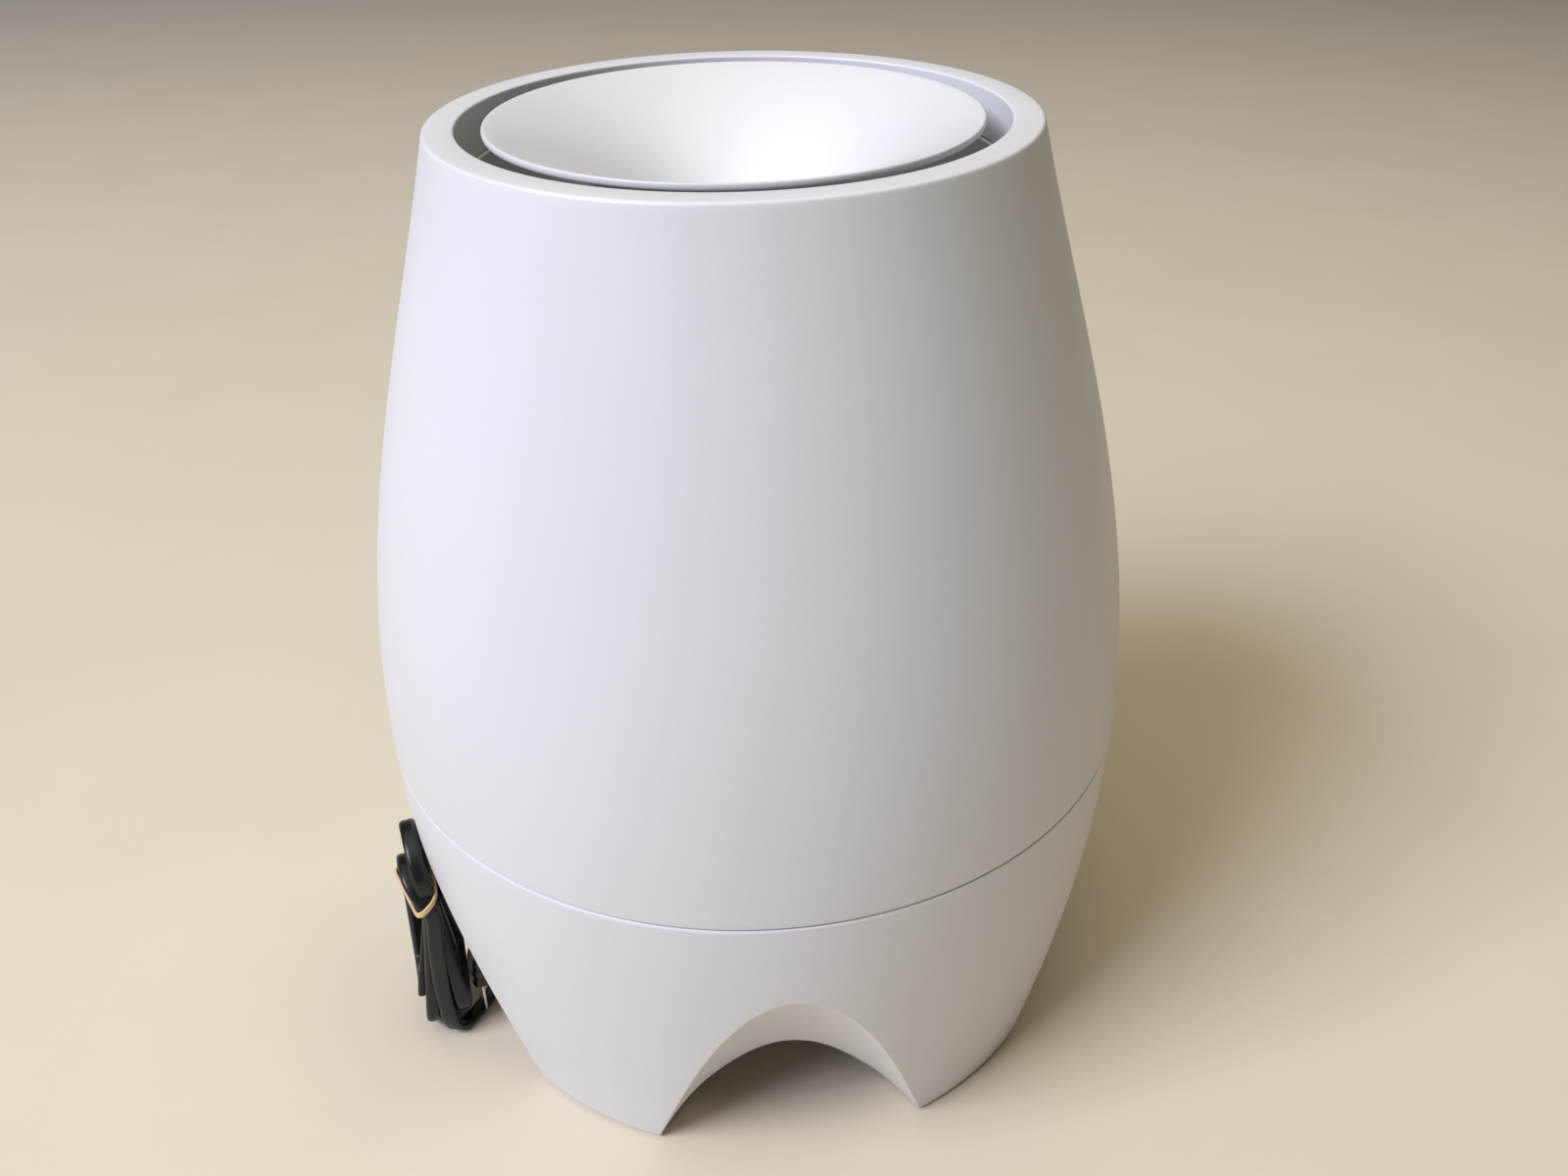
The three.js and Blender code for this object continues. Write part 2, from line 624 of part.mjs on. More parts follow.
// ---------------------------------------------------------------- cord, hank and plug
function cordGland() {
  const tip = GLAND.tip;
  const outline = [
    [0, GLAND.inner], [6, GLAND.inner], [6, GLAND.face + GAP], [8.6, GLAND.face + GAP],
    [8.6, GLAND.face + 2.6], [5.8, GLAND.face + 2.6], [4.2, tip], [0, tip],
  ];
  return part("cord_gland", alongGland(turned(outline, SMALL_FACETS)), BLACK);
}

// A flat lead along points of [reach, z] in the vertical plane at an azimuth.
function flatLead(name, stations, azimuth, steps) {
  const section = new THREE.Shape();
  section.absellipse(0, 0, CORD.width / 2, CORD.thickness / 2, 0, 2 * Math.PI);
  const path = new THREE.CatmullRomCurve3(stations.map(([reach, z]) => new THREE.Vector3(reach, 0, z)));
  const lead = new THREE.ExtrudeGeometry(section, { steps, curveSegments: 5, extrudePath: path });
  return part(name, lead.rotateZ(radians(azimuth - 90)), BLACK);
}

// Reach of the hank's inner or outer face at a height.
const hankInner = (z) => HANK.innerFoot + ((HANK.innerTop - HANK.innerFoot) * z) / HANK.height;
const hankOuter = (z) => HANK.outerFoot + ((HANK.outerTop - HANK.outerFoot) * z) / HANK.height;

function cordLead() {
  const slope = Math.cos(radians(GLAND.tilt));
  const along = (s) => [GLAND.reach + s * slope, PAN_TOP - WALL / 2 - s * slope];
  const stations = [
    along(GLAND.tip + GAP), along(GLAND.tip + 7), [112, 6.8], [119, 3.4], [hankInner(3) - 2 * GAP, 2.2],
  ];
  return flatLead("cord_lead", stations, CORD_AZIMUTH, 18);
}

function cordTail() {
  const stations = [
    [hankInner(70) - 2, 69.4], [133, 64.4], [129, 59], [124.5, 53], [PLUG.reach, 47],
    [PLUG.reach, PLUG.high + GAP],
  ];
  return flatLead("cord_tail", stations, PLUG.azimuth, 12);
}

// The hank's outline: a wide foot with round corners, a waist at the band and a round top.
function hankOutline() {
  const { low, corner, waist, waistZ, high, height } = HANK;
  const topZ = height - high;
  const outline = new THREE.Shape();
  outline.moveTo(-waist, waistZ);
  outline.bezierCurveTo(-waist, waistZ - 15, -low, 2.6 * corner, -low, corner);
  outline.absarc(corner - low, corner, corner, Math.PI, 1.5 * Math.PI);
  outline.absarc(low - corner, corner, corner, 1.5 * Math.PI, 2 * Math.PI);
  outline.bezierCurveTo(low, 2.6 * corner, waist, waistZ - 15, waist, waistZ);
  outline.bezierCurveTo(waist, waistZ + 8, high, topZ - 8, high, topZ);
  outline.absarc(0, topZ, high, 0, Math.PI);
  outline.bezierCurveTo(-high, topZ - 8, -waist, waistZ + 8, -waist, waistZ);
  return outline;
}

function cordHank() {
  const options = { depth: 1, bevelEnabled: false, curveSegments: 6 };
  const hank = new THREE.ExtrudeGeometry(hankOutline(), options);
  const position = hank.getAttribute("position");
  for (let i = 0; i < position.count; i += 1) {
    const z = position.getY(i);
    const reach = position.getZ(i) > 0.5 ? hankOuter(z) : hankInner(z);
    position.setXYZ(i, position.getX(i), -reach, z + GAP);
  }
  return part("cord_hank", hank.rotateZ(radians(HANK.azimuth)), BLACK);
}

function hankBand() {
  const rounded = (Kind, half, deep, radius) => {
    const shape = new Kind();
    shape.absarc(half - radius, deep - radius, radius, 0, Math.PI / 2);
    shape.absarc(radius - half, deep - radius, radius, Math.PI / 2, Math.PI);
    shape.absarc(radius - half, radius - deep, radius, Math.PI, 1.5 * Math.PI);
    shape.absarc(half - radius, radius - deep, radius, 1.5 * Math.PI, 2 * Math.PI);
    return shape;
  };
  const inner = hankInner(HANK.waistZ);
  const outer = hankOuter(HANK.waistZ);
  const deep = (outer - inner) / 2 + 2 * GAP;
  const half = HANK.waist + 1.1;
  const height = 4;
  const band = rounded(THREE.Shape, half + 1, deep + 1, 3);
  band.holes.push(rounded(THREE.Path, half, deep, 2));
  const loop = new THREE.ExtrudeGeometry(band, { depth: height, bevelEnabled: false, curveSegments: 4 })
    .translate(0, -(inner + outer) / 2, HANK.waistZ - height / 2);
  return part("hank_band", loop.rotateZ(radians(HANK.azimuth)), TAN);
}

function plugParts() {
  const { length, width, low, high, reach, azimuth } = PLUG;
  const outline = new THREE.Shape();
  const shoulder = 0.62;
  outline.moveTo(-length / 2, low);
  outline.lineTo(length / 2, low);
  outline.lineTo(length / 2, low + (high - low) * shoulder);
  outline.lineTo(CORD.width / 2 + 1, high);
  outline.lineTo(-CORD.width / 2 - 1, high);
  outline.lineTo(-length / 2, low + (high - low) * shoulder);
  const place = (geometry) => geometry.rotateZ(radians(azimuth - 90));
  const body = new THREE.ExtrudeGeometry(outline, { depth: width, bevelEnabled: false })
    .rotateX(Math.PI / 2)
    .translate(reach, width / 2, 0);
  const blades = [-6.35, 6.35].map((offset, i) => {
    const prong = block(1.5, 6.3, low - 2 * GAP, reach + offset, 0, low / 2);
    return part(`plug_blade_${i + 1}`, place(prong), STEEL);
  });
  return [part("plug_body", place(body), BLACK), ...blades];
}

// ---------------------------------------------------------------- assembly
function group(...meshes) {
  const made = new THREE.Group();
  made.add(...meshes);
  return made;
}

const base = group(
  baseShell(),
  baseDeck(),
  ...intakeParts(),
  ...footPads(),
  fanShroud(),
  motorHousing(),
  part("shaft_bearing", ring(2.85, 3.7, 78, 85, SMALL_FACETS), BRASS),
  part("duct_seal", ring(56.9, 59.2, 135.2, 138, INNER_FACETS), RUBBER),
  ...electronics(),
  dialScale(),
  ...innerLeads(),
  cordGland(),
);
const fan = group(...fanParts());
const dial = group(...dialParts());
const barrel = group(
  bodyShell(),
  outletCollar(),
  innerDuct(),
  barrelFloor(),
  padSpider(),
  ...ductScrews(),
);
const dish = group(...dishParts());
const cord = group(cordLead(), cordHank(), cordTail(), hankBand(), ...plugParts());

export default group(base, fan, dial, barrel, dish, cord);
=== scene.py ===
"""Looks of the fan-driven essential oil diffuser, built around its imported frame.

The frame gives the working pieces. This script makes the fine shells, the folded mains cord and every
finish. Lengths are millimetres and become metres when a mesh is written. The origin is on the floor at
the barrel's axis, +Z is up and the front arch faces -Y.
"""
from __future__ import annotations

import json
import logging
import math
from collections.abc import Callable, Sequence
from dataclasses import dataclass, field
from enum import Enum

import bmesh
import bpy
import numpy as np
from mathutils import Matrix, Vector

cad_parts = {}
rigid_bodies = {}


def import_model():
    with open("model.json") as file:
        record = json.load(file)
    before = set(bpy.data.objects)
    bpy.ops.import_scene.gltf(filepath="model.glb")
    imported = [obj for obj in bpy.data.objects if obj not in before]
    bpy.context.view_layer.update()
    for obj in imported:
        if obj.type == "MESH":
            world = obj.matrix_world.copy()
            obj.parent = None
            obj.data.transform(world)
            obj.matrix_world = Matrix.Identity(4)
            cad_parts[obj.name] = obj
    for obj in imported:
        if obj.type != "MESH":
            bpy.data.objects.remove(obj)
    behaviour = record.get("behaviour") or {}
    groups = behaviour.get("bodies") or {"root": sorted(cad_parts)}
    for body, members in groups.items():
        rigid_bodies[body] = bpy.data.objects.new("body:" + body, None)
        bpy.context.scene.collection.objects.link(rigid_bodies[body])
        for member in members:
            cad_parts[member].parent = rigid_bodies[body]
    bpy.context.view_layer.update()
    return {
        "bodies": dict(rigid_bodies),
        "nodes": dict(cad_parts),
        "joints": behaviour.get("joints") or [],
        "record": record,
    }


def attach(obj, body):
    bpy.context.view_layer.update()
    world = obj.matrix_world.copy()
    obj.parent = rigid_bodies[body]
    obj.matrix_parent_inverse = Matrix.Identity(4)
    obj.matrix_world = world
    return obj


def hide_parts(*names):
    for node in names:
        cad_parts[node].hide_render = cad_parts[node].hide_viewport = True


MM = 0.001
Array = np.ndarray
Profile = Sequence[tuple[float, float, float]]
LOG = logging.getLogger("diffuser")


class Body(Enum):
    """The moving bodies of the frame."""

    BASE = "base"
    FAN = "fan"
    DIAL = "dial"
    BARREL = "barrel"
    DISH = "dish"


# ------------------------------------------------------------------ shapes as arrays


def barrel_radius(z: Array | float) -> Array | float:
    """Radius of the barrel's wall at a height.

    A quartic in t = z / 350: 126 + 62 t + 20 t^2 - 251 t^3 + 141 t^4.

    Args:
        z: Height or heights above the floor.

    Returns:
        The radius at each height.
    """
    t = np.asarray(z, float) / 350.0
    return 126 + t * (62 + t * (20 + t * (-251 + t * 141)))


def smooth_step(t: Array | float) -> Array | float:
    """3t^2 - 2t^3, with t held between 0 and 1."""
    t = np.clip(t, 0.0, 1.0)
    return t * t * (3 - 2 * t)


def rounded(corners: Profile, steps: int = 5, closed: bool = True) -> Array:
    """An outline whose corners are rounded.

    Each corner P becomes the curve (1-t)^2 A + 2t(1-t) P + t^2 B, where A and B lie on the two sides, one
    corner radius away from P, or under half a side away where the side is short.

    Args:
        corners: Rows of (radius from the axis, height, corner radius).
        steps: Points on each rounded corner.
        closed: Whether the last corner joins the first.

    Returns:
        Points of (radius from the axis, height), with no two alike in a row.
    """
    rows = np.asarray(corners, float)
    points, radii = rows[:, :2], rows[:, 2:]
    before, after = np.roll(points, 1, axis=0), np.roll(points, -1, axis=0)
    if not closed:
        before[0], after[-1] = points[0], points[-1]
    sides = []
    for other in (before, after):
        line = other - points
        length = np.linalg.norm(line, axis=1, keepdims=True)
        reach = np.minimum(radii, 0.48 * length)
        sides.append(points + line / np.maximum(length, 1e-9) * reach)
    t = np.linspace(0, 1, steps)[None, :, None]
    start, end = sides[0][:, None], sides[1][:, None]
    curve = (1 - t) ** 2 * start + 2 * t * (1 - t) * points[:, None] + t**2 * end
    curve = curve.reshape(-1, 2)
    gap = np.linalg.norm(curve - np.roll(curve, 1, axis=0), axis=1)
    gap[0] = gap[0] if closed else 1.0
    return curve[gap > 1e-5]


def line_rows(points: Array, radius: float = 0.0) -> list[tuple[float, float, float]]:
    """Rows of an outline for points that share one corner radius."""
    return [(float(r), float(z), radius) for r, z in points]


def barrel_line(low: float, high: float, steps: int, inset: float = 0.0) -> Array:
    """Points of (wall radius - inset, height) evenly spaced between two heights."""
    z = np.linspace(low, high, steps)
    return np.stack([barrel_radius(z) - inset, z], axis=1)


def turn(profile: Array, segments: int) -> Array:
    """Rows of points of a profile turned about Z: (r cos a, r sin a, z).

    Args:
        profile: Points of (radius, height).
        segments: Points round the axis.

    Returns:
        Grid of rows by segments by 3.
    """
    a = np.linspace(0, 2 * np.pi, segments, endpoint=False)
    r, z = profile[:, :1], profile[:, 1:]
    return np.stack([r * np.cos(a), r * np.sin(a), np.repeat(z, segments, axis=1)], axis=2)


def spin(points: Array, degrees: float) -> Array:
    """Points turned about Z, anticlockwise from above.

    Args:
        points: The points.
        degrees: The angle.

    Returns:
        The turned points.
    """
    a = math.radians(degrees)
    matrix = np.array([[math.cos(a), -math.sin(a), 0], [math.sin(a), math.cos(a), 0], [0, 0, 1]])
    return points @ matrix.T


def polar(reach: Array | float, azimuth: Array | float, z: Array | float) -> Array:
    """Points at a reach and an azimuth in degrees, 0 towards -Y and growing towards +X."""
    a = np.radians(azimuth)
    return np.stack(np.broadcast_arrays(reach * np.sin(a), -reach * np.cos(a), z), axis=-1)


def make_piece(
    name: str,
    points: Array,
    close_rows: bool = True,
    close_columns: bool = True,
    uv_size: tuple[float, float] | None = None,
    sharp: float = 38.0,
) -> bpy.types.Object:
    """A mesh over a grid of points, with its doubles merged and its faces turned outwards.

    Args:
        name: The piece's name.
        points: Grid of rows by columns by 3, in millimetres.
        close_rows: Whether the last row joins the first.
        close_columns: Whether the last column joins the first.
        uv_size: Lengths in millimetres that the grid's rows and columns stand for, for a UV map.
        sharp: Angle in degrees above which an edge stays sharp.

    Returns:
        The new object, at the origin.
    """
    rows, columns = points.shape[:2]
    row = np.arange(rows if close_rows else rows - 1)[:, None]
    column = np.arange(columns if close_columns else columns - 1)[None, :]
    next_row, next_column = (row + 1) % rows, (column + 1) % columns
    corners = [(row, column), (next_row, column), (next_row, next_column), (row, next_column)]
    faces = np.stack([a * columns + b for a, b in corners], axis=-1).reshape(-1, 4)
    mesh = bpy.data.meshes.new(name)
    mesh.from_pydata(points.reshape(-1, 3) * MM, [], faces)
    if uv_size is not None:
        steps = ((0, 0), (1, 0), (1, 1), (0, 1))
        share = [np.stack(np.broadcast_arrays(row + i, column + j), -1) for i, j in steps]
        uv = np.stack(share, axis=2).reshape(-1, 2) / (rows - 1, columns) * uv_size * MM
        mesh.uv_layers.new(name="UVMap").data.foreach_set("uv", uv.astype(np.float32).ravel())
    return finish_mesh(name, mesh, sharp)


def finish_mesh(name: str, mesh: bpy.types.Mesh, sharp: float = 38.0) -> bpy.types.Object:
    """Merges doubles, turns faces outwards, shades smooth with sharp edges, and links the object.

    Args:
        name: The object's name.
        mesh: The mesh, which is changed.
        sharp: Angle in degrees above which an edge stays sharp.

    Returns:
        The new object, at the origin.
    """
    work = bmesh.new()
    work.from_mesh(mesh)
    bmesh.ops.remove_doubles(work, verts=work.verts, dist=2e-6)
    bmesh.ops.dissolve_degenerate(work, dist=1e-7, edges=work.edges)
    bmesh.ops.recalc_face_normals(work, faces=work.faces)
    work.to_mesh(mesh)
    work.free()
    mesh.polygons.foreach_set("use_smooth", np.ones(len(mesh.polygons), bool))
    mesh.set_sharp_from_angle(angle=math.radians(sharp))
    made = bpy.data.objects.new(name, mesh)
    bpy.context.scene.collection.objects.link(made)
    return made


def combine(target: bpy.types.Object, tool: bpy.types.Object, operation: str) -> None:
    """Joins or cuts one closed mesh with another, and removes the second.

    Args:
        target: The object that is changed.
        tool: The closed object that joins or cuts it.
        operation: UNION, DIFFERENCE or INTERSECT.
    """
    modifier = target.modifiers.new("combine", "BOOLEAN")
    modifier.object, modifier.operation, modifier.solver = tool, operation, "EXACT"
    bpy.context.view_layer.update()
    graph = bpy.context.evaluated_depsgraph_get()
    mesh = bpy.data.meshes.new_from_object(target.evaluated_get(graph))
    target.modifiers.clear()
    target.data = mesh
    bpy.data.objects.remove(tool)
    mesh.polygons.foreach_set("use_smooth", np.ones(len(mesh.polygons), bool))
    mesh.set_sharp_from_angle(angle=math.radians(34))


# ------------------------------------------------------------------ shader groups


class ShaderGroups:
    """Node groups that several finishes share."""

    def __init__(self) -> None:
        """Builds every group once."""
        self.grain = self._grain()
        self.handling = self._handling()
        self.strands = self._strands()

    @staticmethod
    def _start(name: str, inputs: dict[str, float], outputs: Sequence[str]) -> bpy.types.NodeTree:
        """A new group with a Vector input, number inputs with defaults, and number outputs.

        Args:
            name: The group's name.
            inputs: Names of the group's number inputs, with their defaults.
            outputs: Names of the group's outputs.

        Returns:
            The group, with its input and output nodes.
        """
        tree = bpy.data.node_groups.new(name, "ShaderNodeTree")
        tree.interface.new_socket("Vector", in_out="INPUT", socket_type="NodeSocketVector")
        for label, value in inputs.items():
            socket = tree.interface.new_socket(label, in_out="INPUT", socket_type="NodeSocketFloat")
            socket.default_value = value
        for label in outputs:
            tree.interface.new_socket(label, in_out="OUTPUT", socket_type="NodeSocketFloat")
        tree.nodes.new("NodeGroupInput").name = "in"
        tree.nodes.new("NodeGroupOutput").name = "out"
        return tree

    @staticmethod
    def _noise(
        tree: bpy.types.NodeTree, scale_from: str, detail: float, rough: float = 0.5
    ) -> bpy.types.Node:
        """A noise texture read at the group's vector, with its scale from a group input.

        Args:
            tree: The node tree that takes the node.
            scale_from: The group input that gives the scale.
            detail: Octaves of the noise.
            rough: How strong the finer octaves are.

        Returns:
            The noise node.
        """
        noise = tree.nodes.new("ShaderNodeTexNoise")
        noise.inputs["Detail"].default_value = detail
        noise.inputs["Roughness"].default_value = rough
        tree.links.new(tree.nodes["in"].outputs["Vector"], noise.inputs["Vector"])
        tree.links.new(tree.nodes["in"].outputs[scale_from], noise.inputs["Scale"])
        return noise

    @staticmethod
    def _math(tree: bpy.types.NodeTree, kind: str, *values: object) -> bpy.types.Node:
        """A math node whose inputs are sockets or numbers.

        Args:
            tree: The node tree that takes the node.
            kind: The operation.
            *values: A socket or a number for each input in turn.

        Returns:
            The math node.
        """
        node = tree.nodes.new("ShaderNodeMath")
        node.operation = kind
        for socket, value in zip(node.inputs, values):
            if isinstance(value, (int, float)):
                socket.default_value = value
            else:
                tree.links.new(value, socket)
        return node

    def _grain(self) -> bpy.types.NodeTree:
        """Moulded grain: fine pits for the height and a slow mottle for colour and gloss.

        Returns:
            The group.
        """
        inputs = {"Grain Scale": 1800.0, "Mottle Scale": 14.0}
        tree = self._start("moulded_grain", inputs, ["Height", "Mottle"])
        fine = self._noise(tree, "Grain Scale", 2.0, 0.6)
        slow = self._noise(tree, "Mottle Scale", 4.0, 0.55)
        tree.links.new(fine.outputs["Fac"], tree.nodes["out"].inputs["Height"])
        tree.links.new(slow.outputs["Fac"], tree.nodes["out"].inputs["Mottle"])
        return tree

    def _handling(self) -> bpy.types.NodeTree:
        """Dust and fine rub marks: a mask of rare soft patches and one of thin streaks.

        Returns:
            The group.
        """
        tree = self._start("handling", {"Patch Scale": 22.0, "Streak Scale": 140.0}, ["Dust", "Rub"])
        patch = self._noise(tree, "Patch Scale", 5.0, 0.65)
        dust = self._math(tree, "MULTIPLY_ADD", patch.outputs["Fac"], 3.2, -1.55)
        dust.use_clamp = True
        stretch = tree.nodes.new("ShaderNodeMapping")
        stretch.inputs["Scale"].default_value = (1.0, 1.0, 9.0)
        stretch.inputs["Rotation"].default_value = (0.4, 0.2, 0.0)
        tree.links.new(tree.nodes["in"].outputs["Vector"], stretch.inputs["Vector"])
        streak = self._noise(tree, "Streak Scale", 3.0)
        tree.links.new(stretch.outputs["Vector"], streak.inputs["Vector"])
        rub = self._math(tree, "MULTIPLY_ADD", streak.outputs["Fac"], 5.0, -3.1)
        rub.use_clamp = True
        tree.links.new(dust.outputs[0], tree.nodes["out"].inputs["Dust"])
        tree.links.new(rub.outputs[0], tree.nodes["out"].inputs["Rub"])
        return tree

    def _strands(self) -> bpy.types.NodeTree:
        """Long thin fibres or brush lines: noise read in a space squeezed along one axis.

        Returns:
            The group.
        """
        tree = self._start("strands", {"Line Scale": 900.0}, ["Lines"])
        squeeze = tree.nodes.new("ShaderNodeMapping")
        squeeze.inputs["Scale"].default_value = (1.0, 1.0, 0.04)
        tree.links.new(tree.nodes["in"].outputs["Vector"], squeeze.inputs["Vector"])
        lines = self._noise(tree, "Line Scale", 2.0)
        tree.links.new(squeeze.outputs["Vector"], lines.inputs["Vector"])
        tree.links.new(lines.outputs["Fac"], tree.nodes["out"].inputs["Lines"])
        return tree


class Pattern(Enum):
    """What a finish shows besides its grain."""

    MOULDED = "moulded"
    BRUSHED = "brushed"
    FELTED = "felted"
    CELLS = "cells"
    WOUND = "wound"
    PRINTED = "printed"


@dataclass(frozen=True)
class Finish:
    """One material of the diffuser.

    Attributes:
        slot: The record's material slot.
        color: Base colour, linear.
        roughness: Mean roughness.
        grain: Grain scale, in cycles per metre.
        depth: Grain depth in millimetres.
        mottle: Share by which the colour varies slowly.
        dust: Strength of the dust patches.
        pattern: What shows besides the grain.
        metallic: 0 or 1.
        coat: Weight of a clear coat.
        sheen: Weight of a soft sheen, as on rubber or felt.
        second: Second colour of a pattern.
    """

    slot: str
    color: tuple[float, float, float]
    roughness: float
    grain: float = 1800.0
    depth: float = 0.02
    mottle: float = 0.03
    dust: float = 0.1
    pattern: Pattern = Pattern.MOULDED
    metallic: float = 0.0
    coat: float = 0.0
    sheen: float = 0.0
    second: tuple[float, float, float] = (0.55, 0.52, 0.47)

    def build(self, groups: ShaderGroups) -> bpy.types.Material:
        """Makes the material's nodes.

        Args:
            groups: The shared node groups.

        Returns:
            The new material.
        """
        material = bpy.data.materials.new(self.slot)
        material.use_nodes = True
        tree = material.node_tree
        shader = tree.nodes["Principled BSDF"]
        shader.inputs["Metallic"].default_value = self.metallic
        shader.inputs["Coat Weight"].default_value = self.coat
        shader.inputs["Coat Roughness"].default_value = 0.12
        shader.inputs["Sheen Weight"].default_value = self.sheen
        shader.inputs["IOR"].default_value = 1.49
        where = tree.nodes.new("ShaderNodeTexCoord").outputs["Object"]
        grain = self._group(tree, groups.grain, where, {"Grain Scale": self.grain})
        handling = self._group(tree, groups.handling, where, {})
        tint = self._tint(tree, grain.outputs["Mottle"])
        height = grain.outputs["Height"]
        mask, raised = self._pattern(tree, groups, where)
        if mask is not None:
            tint = self._mix(tree, mask, tint, self.second)
        if raised is not None:
            height = raised
        worn = ShaderGroups._math(tree, "MULTIPLY", handling.outputs["Dust"], self.dust)
        tint = self._mix(tree, worn.outputs[0], tint, (0.60, 0.57, 0.52))
        tree.links.new(tint, shader.inputs["Base Color"])
        gloss = ShaderGroups._math(tree, "MULTIPLY_ADD", grain.outputs["Mottle"], 0.16, self.roughness - 0.08)
        rubbed = ShaderGroups._math(tree, "MULTIPLY_ADD", handling.outputs["Rub"], -0.07, gloss.outputs[0])
        dusty = ShaderGroups._math(tree, "ADD", rubbed.outputs[0], worn.outputs[0])
        dusty.use_clamp = True
        tree.links.new(dusty.outputs[0], shader.inputs["Roughness"])
        bump = tree.nodes.new("ShaderNodeBump")
        bump.inputs["Distance"].default_value = self.depth * MM
        bump.inputs["Strength"].default_value = 1.0
        tree.links.new(height, bump.inputs["Height"])
        tree.links.new(bump.outputs["Normal"], shader.inputs["Normal"])
        return material

    @staticmethod
    def _group(
        tree: bpy.types.NodeTree, group: bpy.types.NodeTree, where: object, values: dict[str, float]
    ) -> bpy.types.Node:
        """Places a shared group with this finish's own values.

        Args:
            tree: The node tree that takes the node.
            group: The shared group.
            where: The socket that gives the place.
            values: Values for the inputs, by name.

        Returns:
            The group node.
        """
        node = tree.nodes.new("ShaderNodeGroup")
        node.node_tree = group
        tree.links.new(where, node.inputs["Vector"])
        for label, value in values.items():
            node.inputs[label].default_value = value
        return node

    def _tint(self, tree: bpy.types.NodeTree, mottle: object) -> object:
        """The base colour, a little darker and lighter with the mottle.

        Args:
            tree: The node tree that takes the node.
            mottle: The socket of the slow mottle.

        Returns:
            The colour socket.
        """
        ramp = tree.nodes.new("ShaderNodeValToRGB")
        low, high = ramp.color_ramp.elements
        low.position, high.position = 0.3, 0.7
        low.color = (*(c * (1 - self.mottle) for c in self.color), 1)
        high.color = (*(min(1.0, c * (1 + self.mottle)) for c in self.color), 1)
        tree.links.new(mottle, ramp.inputs["Fac"])
        return ramp.outputs["Color"]

    @staticmethod
    def _mix(
        tree: bpy.types.NodeTree, share: object, base: object, color: tuple[float, float, float]
    ) -> object:
        """Mixes a colour over another by a mask.

        Args:
            tree: The node tree that takes the node.
            share: The mask.
            base: The colour underneath.
            color: The colour on top.

        Returns:
            The colour socket.
        """
        mix = tree.nodes.new("ShaderNodeMix")
        mix.data_type = "RGBA"
        tree.links.new(share, mix.inputs["Factor"])
        tree.links.new(base, mix.inputs["A"])
        mix.inputs["B"].default_value = (*color, 1)
        return mix.outputs["Result"]

    def _pattern(
        self, tree: bpy.types.NodeTree, groups: ShaderGroups, where: object
    ) -> tuple[object | None, object | None]:
        """The mask and the height that the finish's pattern adds, each None where it adds none.

        Args:
            tree: The node tree that takes the node.
            groups: The shared groups.
            where: The socket that gives the place.

        Returns:
            The two sockets.
        """
        if self.pattern in (Pattern.BRUSHED, Pattern.FELTED):
            lines = self._group(tree, groups.strands, where, {"Line Scale": self.grain})
            out = lines.outputs["Lines"]
            spread = ShaderGroups._math(tree, "MULTIPLY_ADD", out, 2.4, -0.9)
            spread.use_clamp = True
            return spread.outputs[0], out
        if self.pattern is Pattern.CELLS:
            cells = tree.nodes.new("ShaderNodeTexVoronoi")
            cells.inputs["Scale"].default_value = self.grain
            tree.links.new(where, cells.inputs["Vector"])
            deep = ShaderGroups._math(tree, "MULTIPLY_ADD", cells.outputs["Distance"], -1.6, 1.0)
            deep.use_clamp = True
            return deep.outputs[0], cells.outputs["Distance"]
        if self.pattern is Pattern.WOUND:
            wave = tree.nodes.new("ShaderNodeTexWave")
            wave.bands_direction = "Z"
            wave.inputs["Scale"].default_value = self.grain
            wave.inputs["Distortion"].default_value = 0.4
            tree.links.new(where, wave.inputs["Vector"])
            return wave.outputs["Fac"], wave.outputs["Fac"]
        if self.pattern is Pattern.PRINTED:
            tracks = tree.nodes.new("ShaderNodeTexBrick")
            tracks.inputs["Scale"].default_value = self.grain
            tracks.inputs["Mortar Size"].default_value = 0.03
            tree.links.new(where, tracks.inputs["Vector"])
            return tracks.outputs["Fac"], tracks.outputs["Fac"]
        return None, None


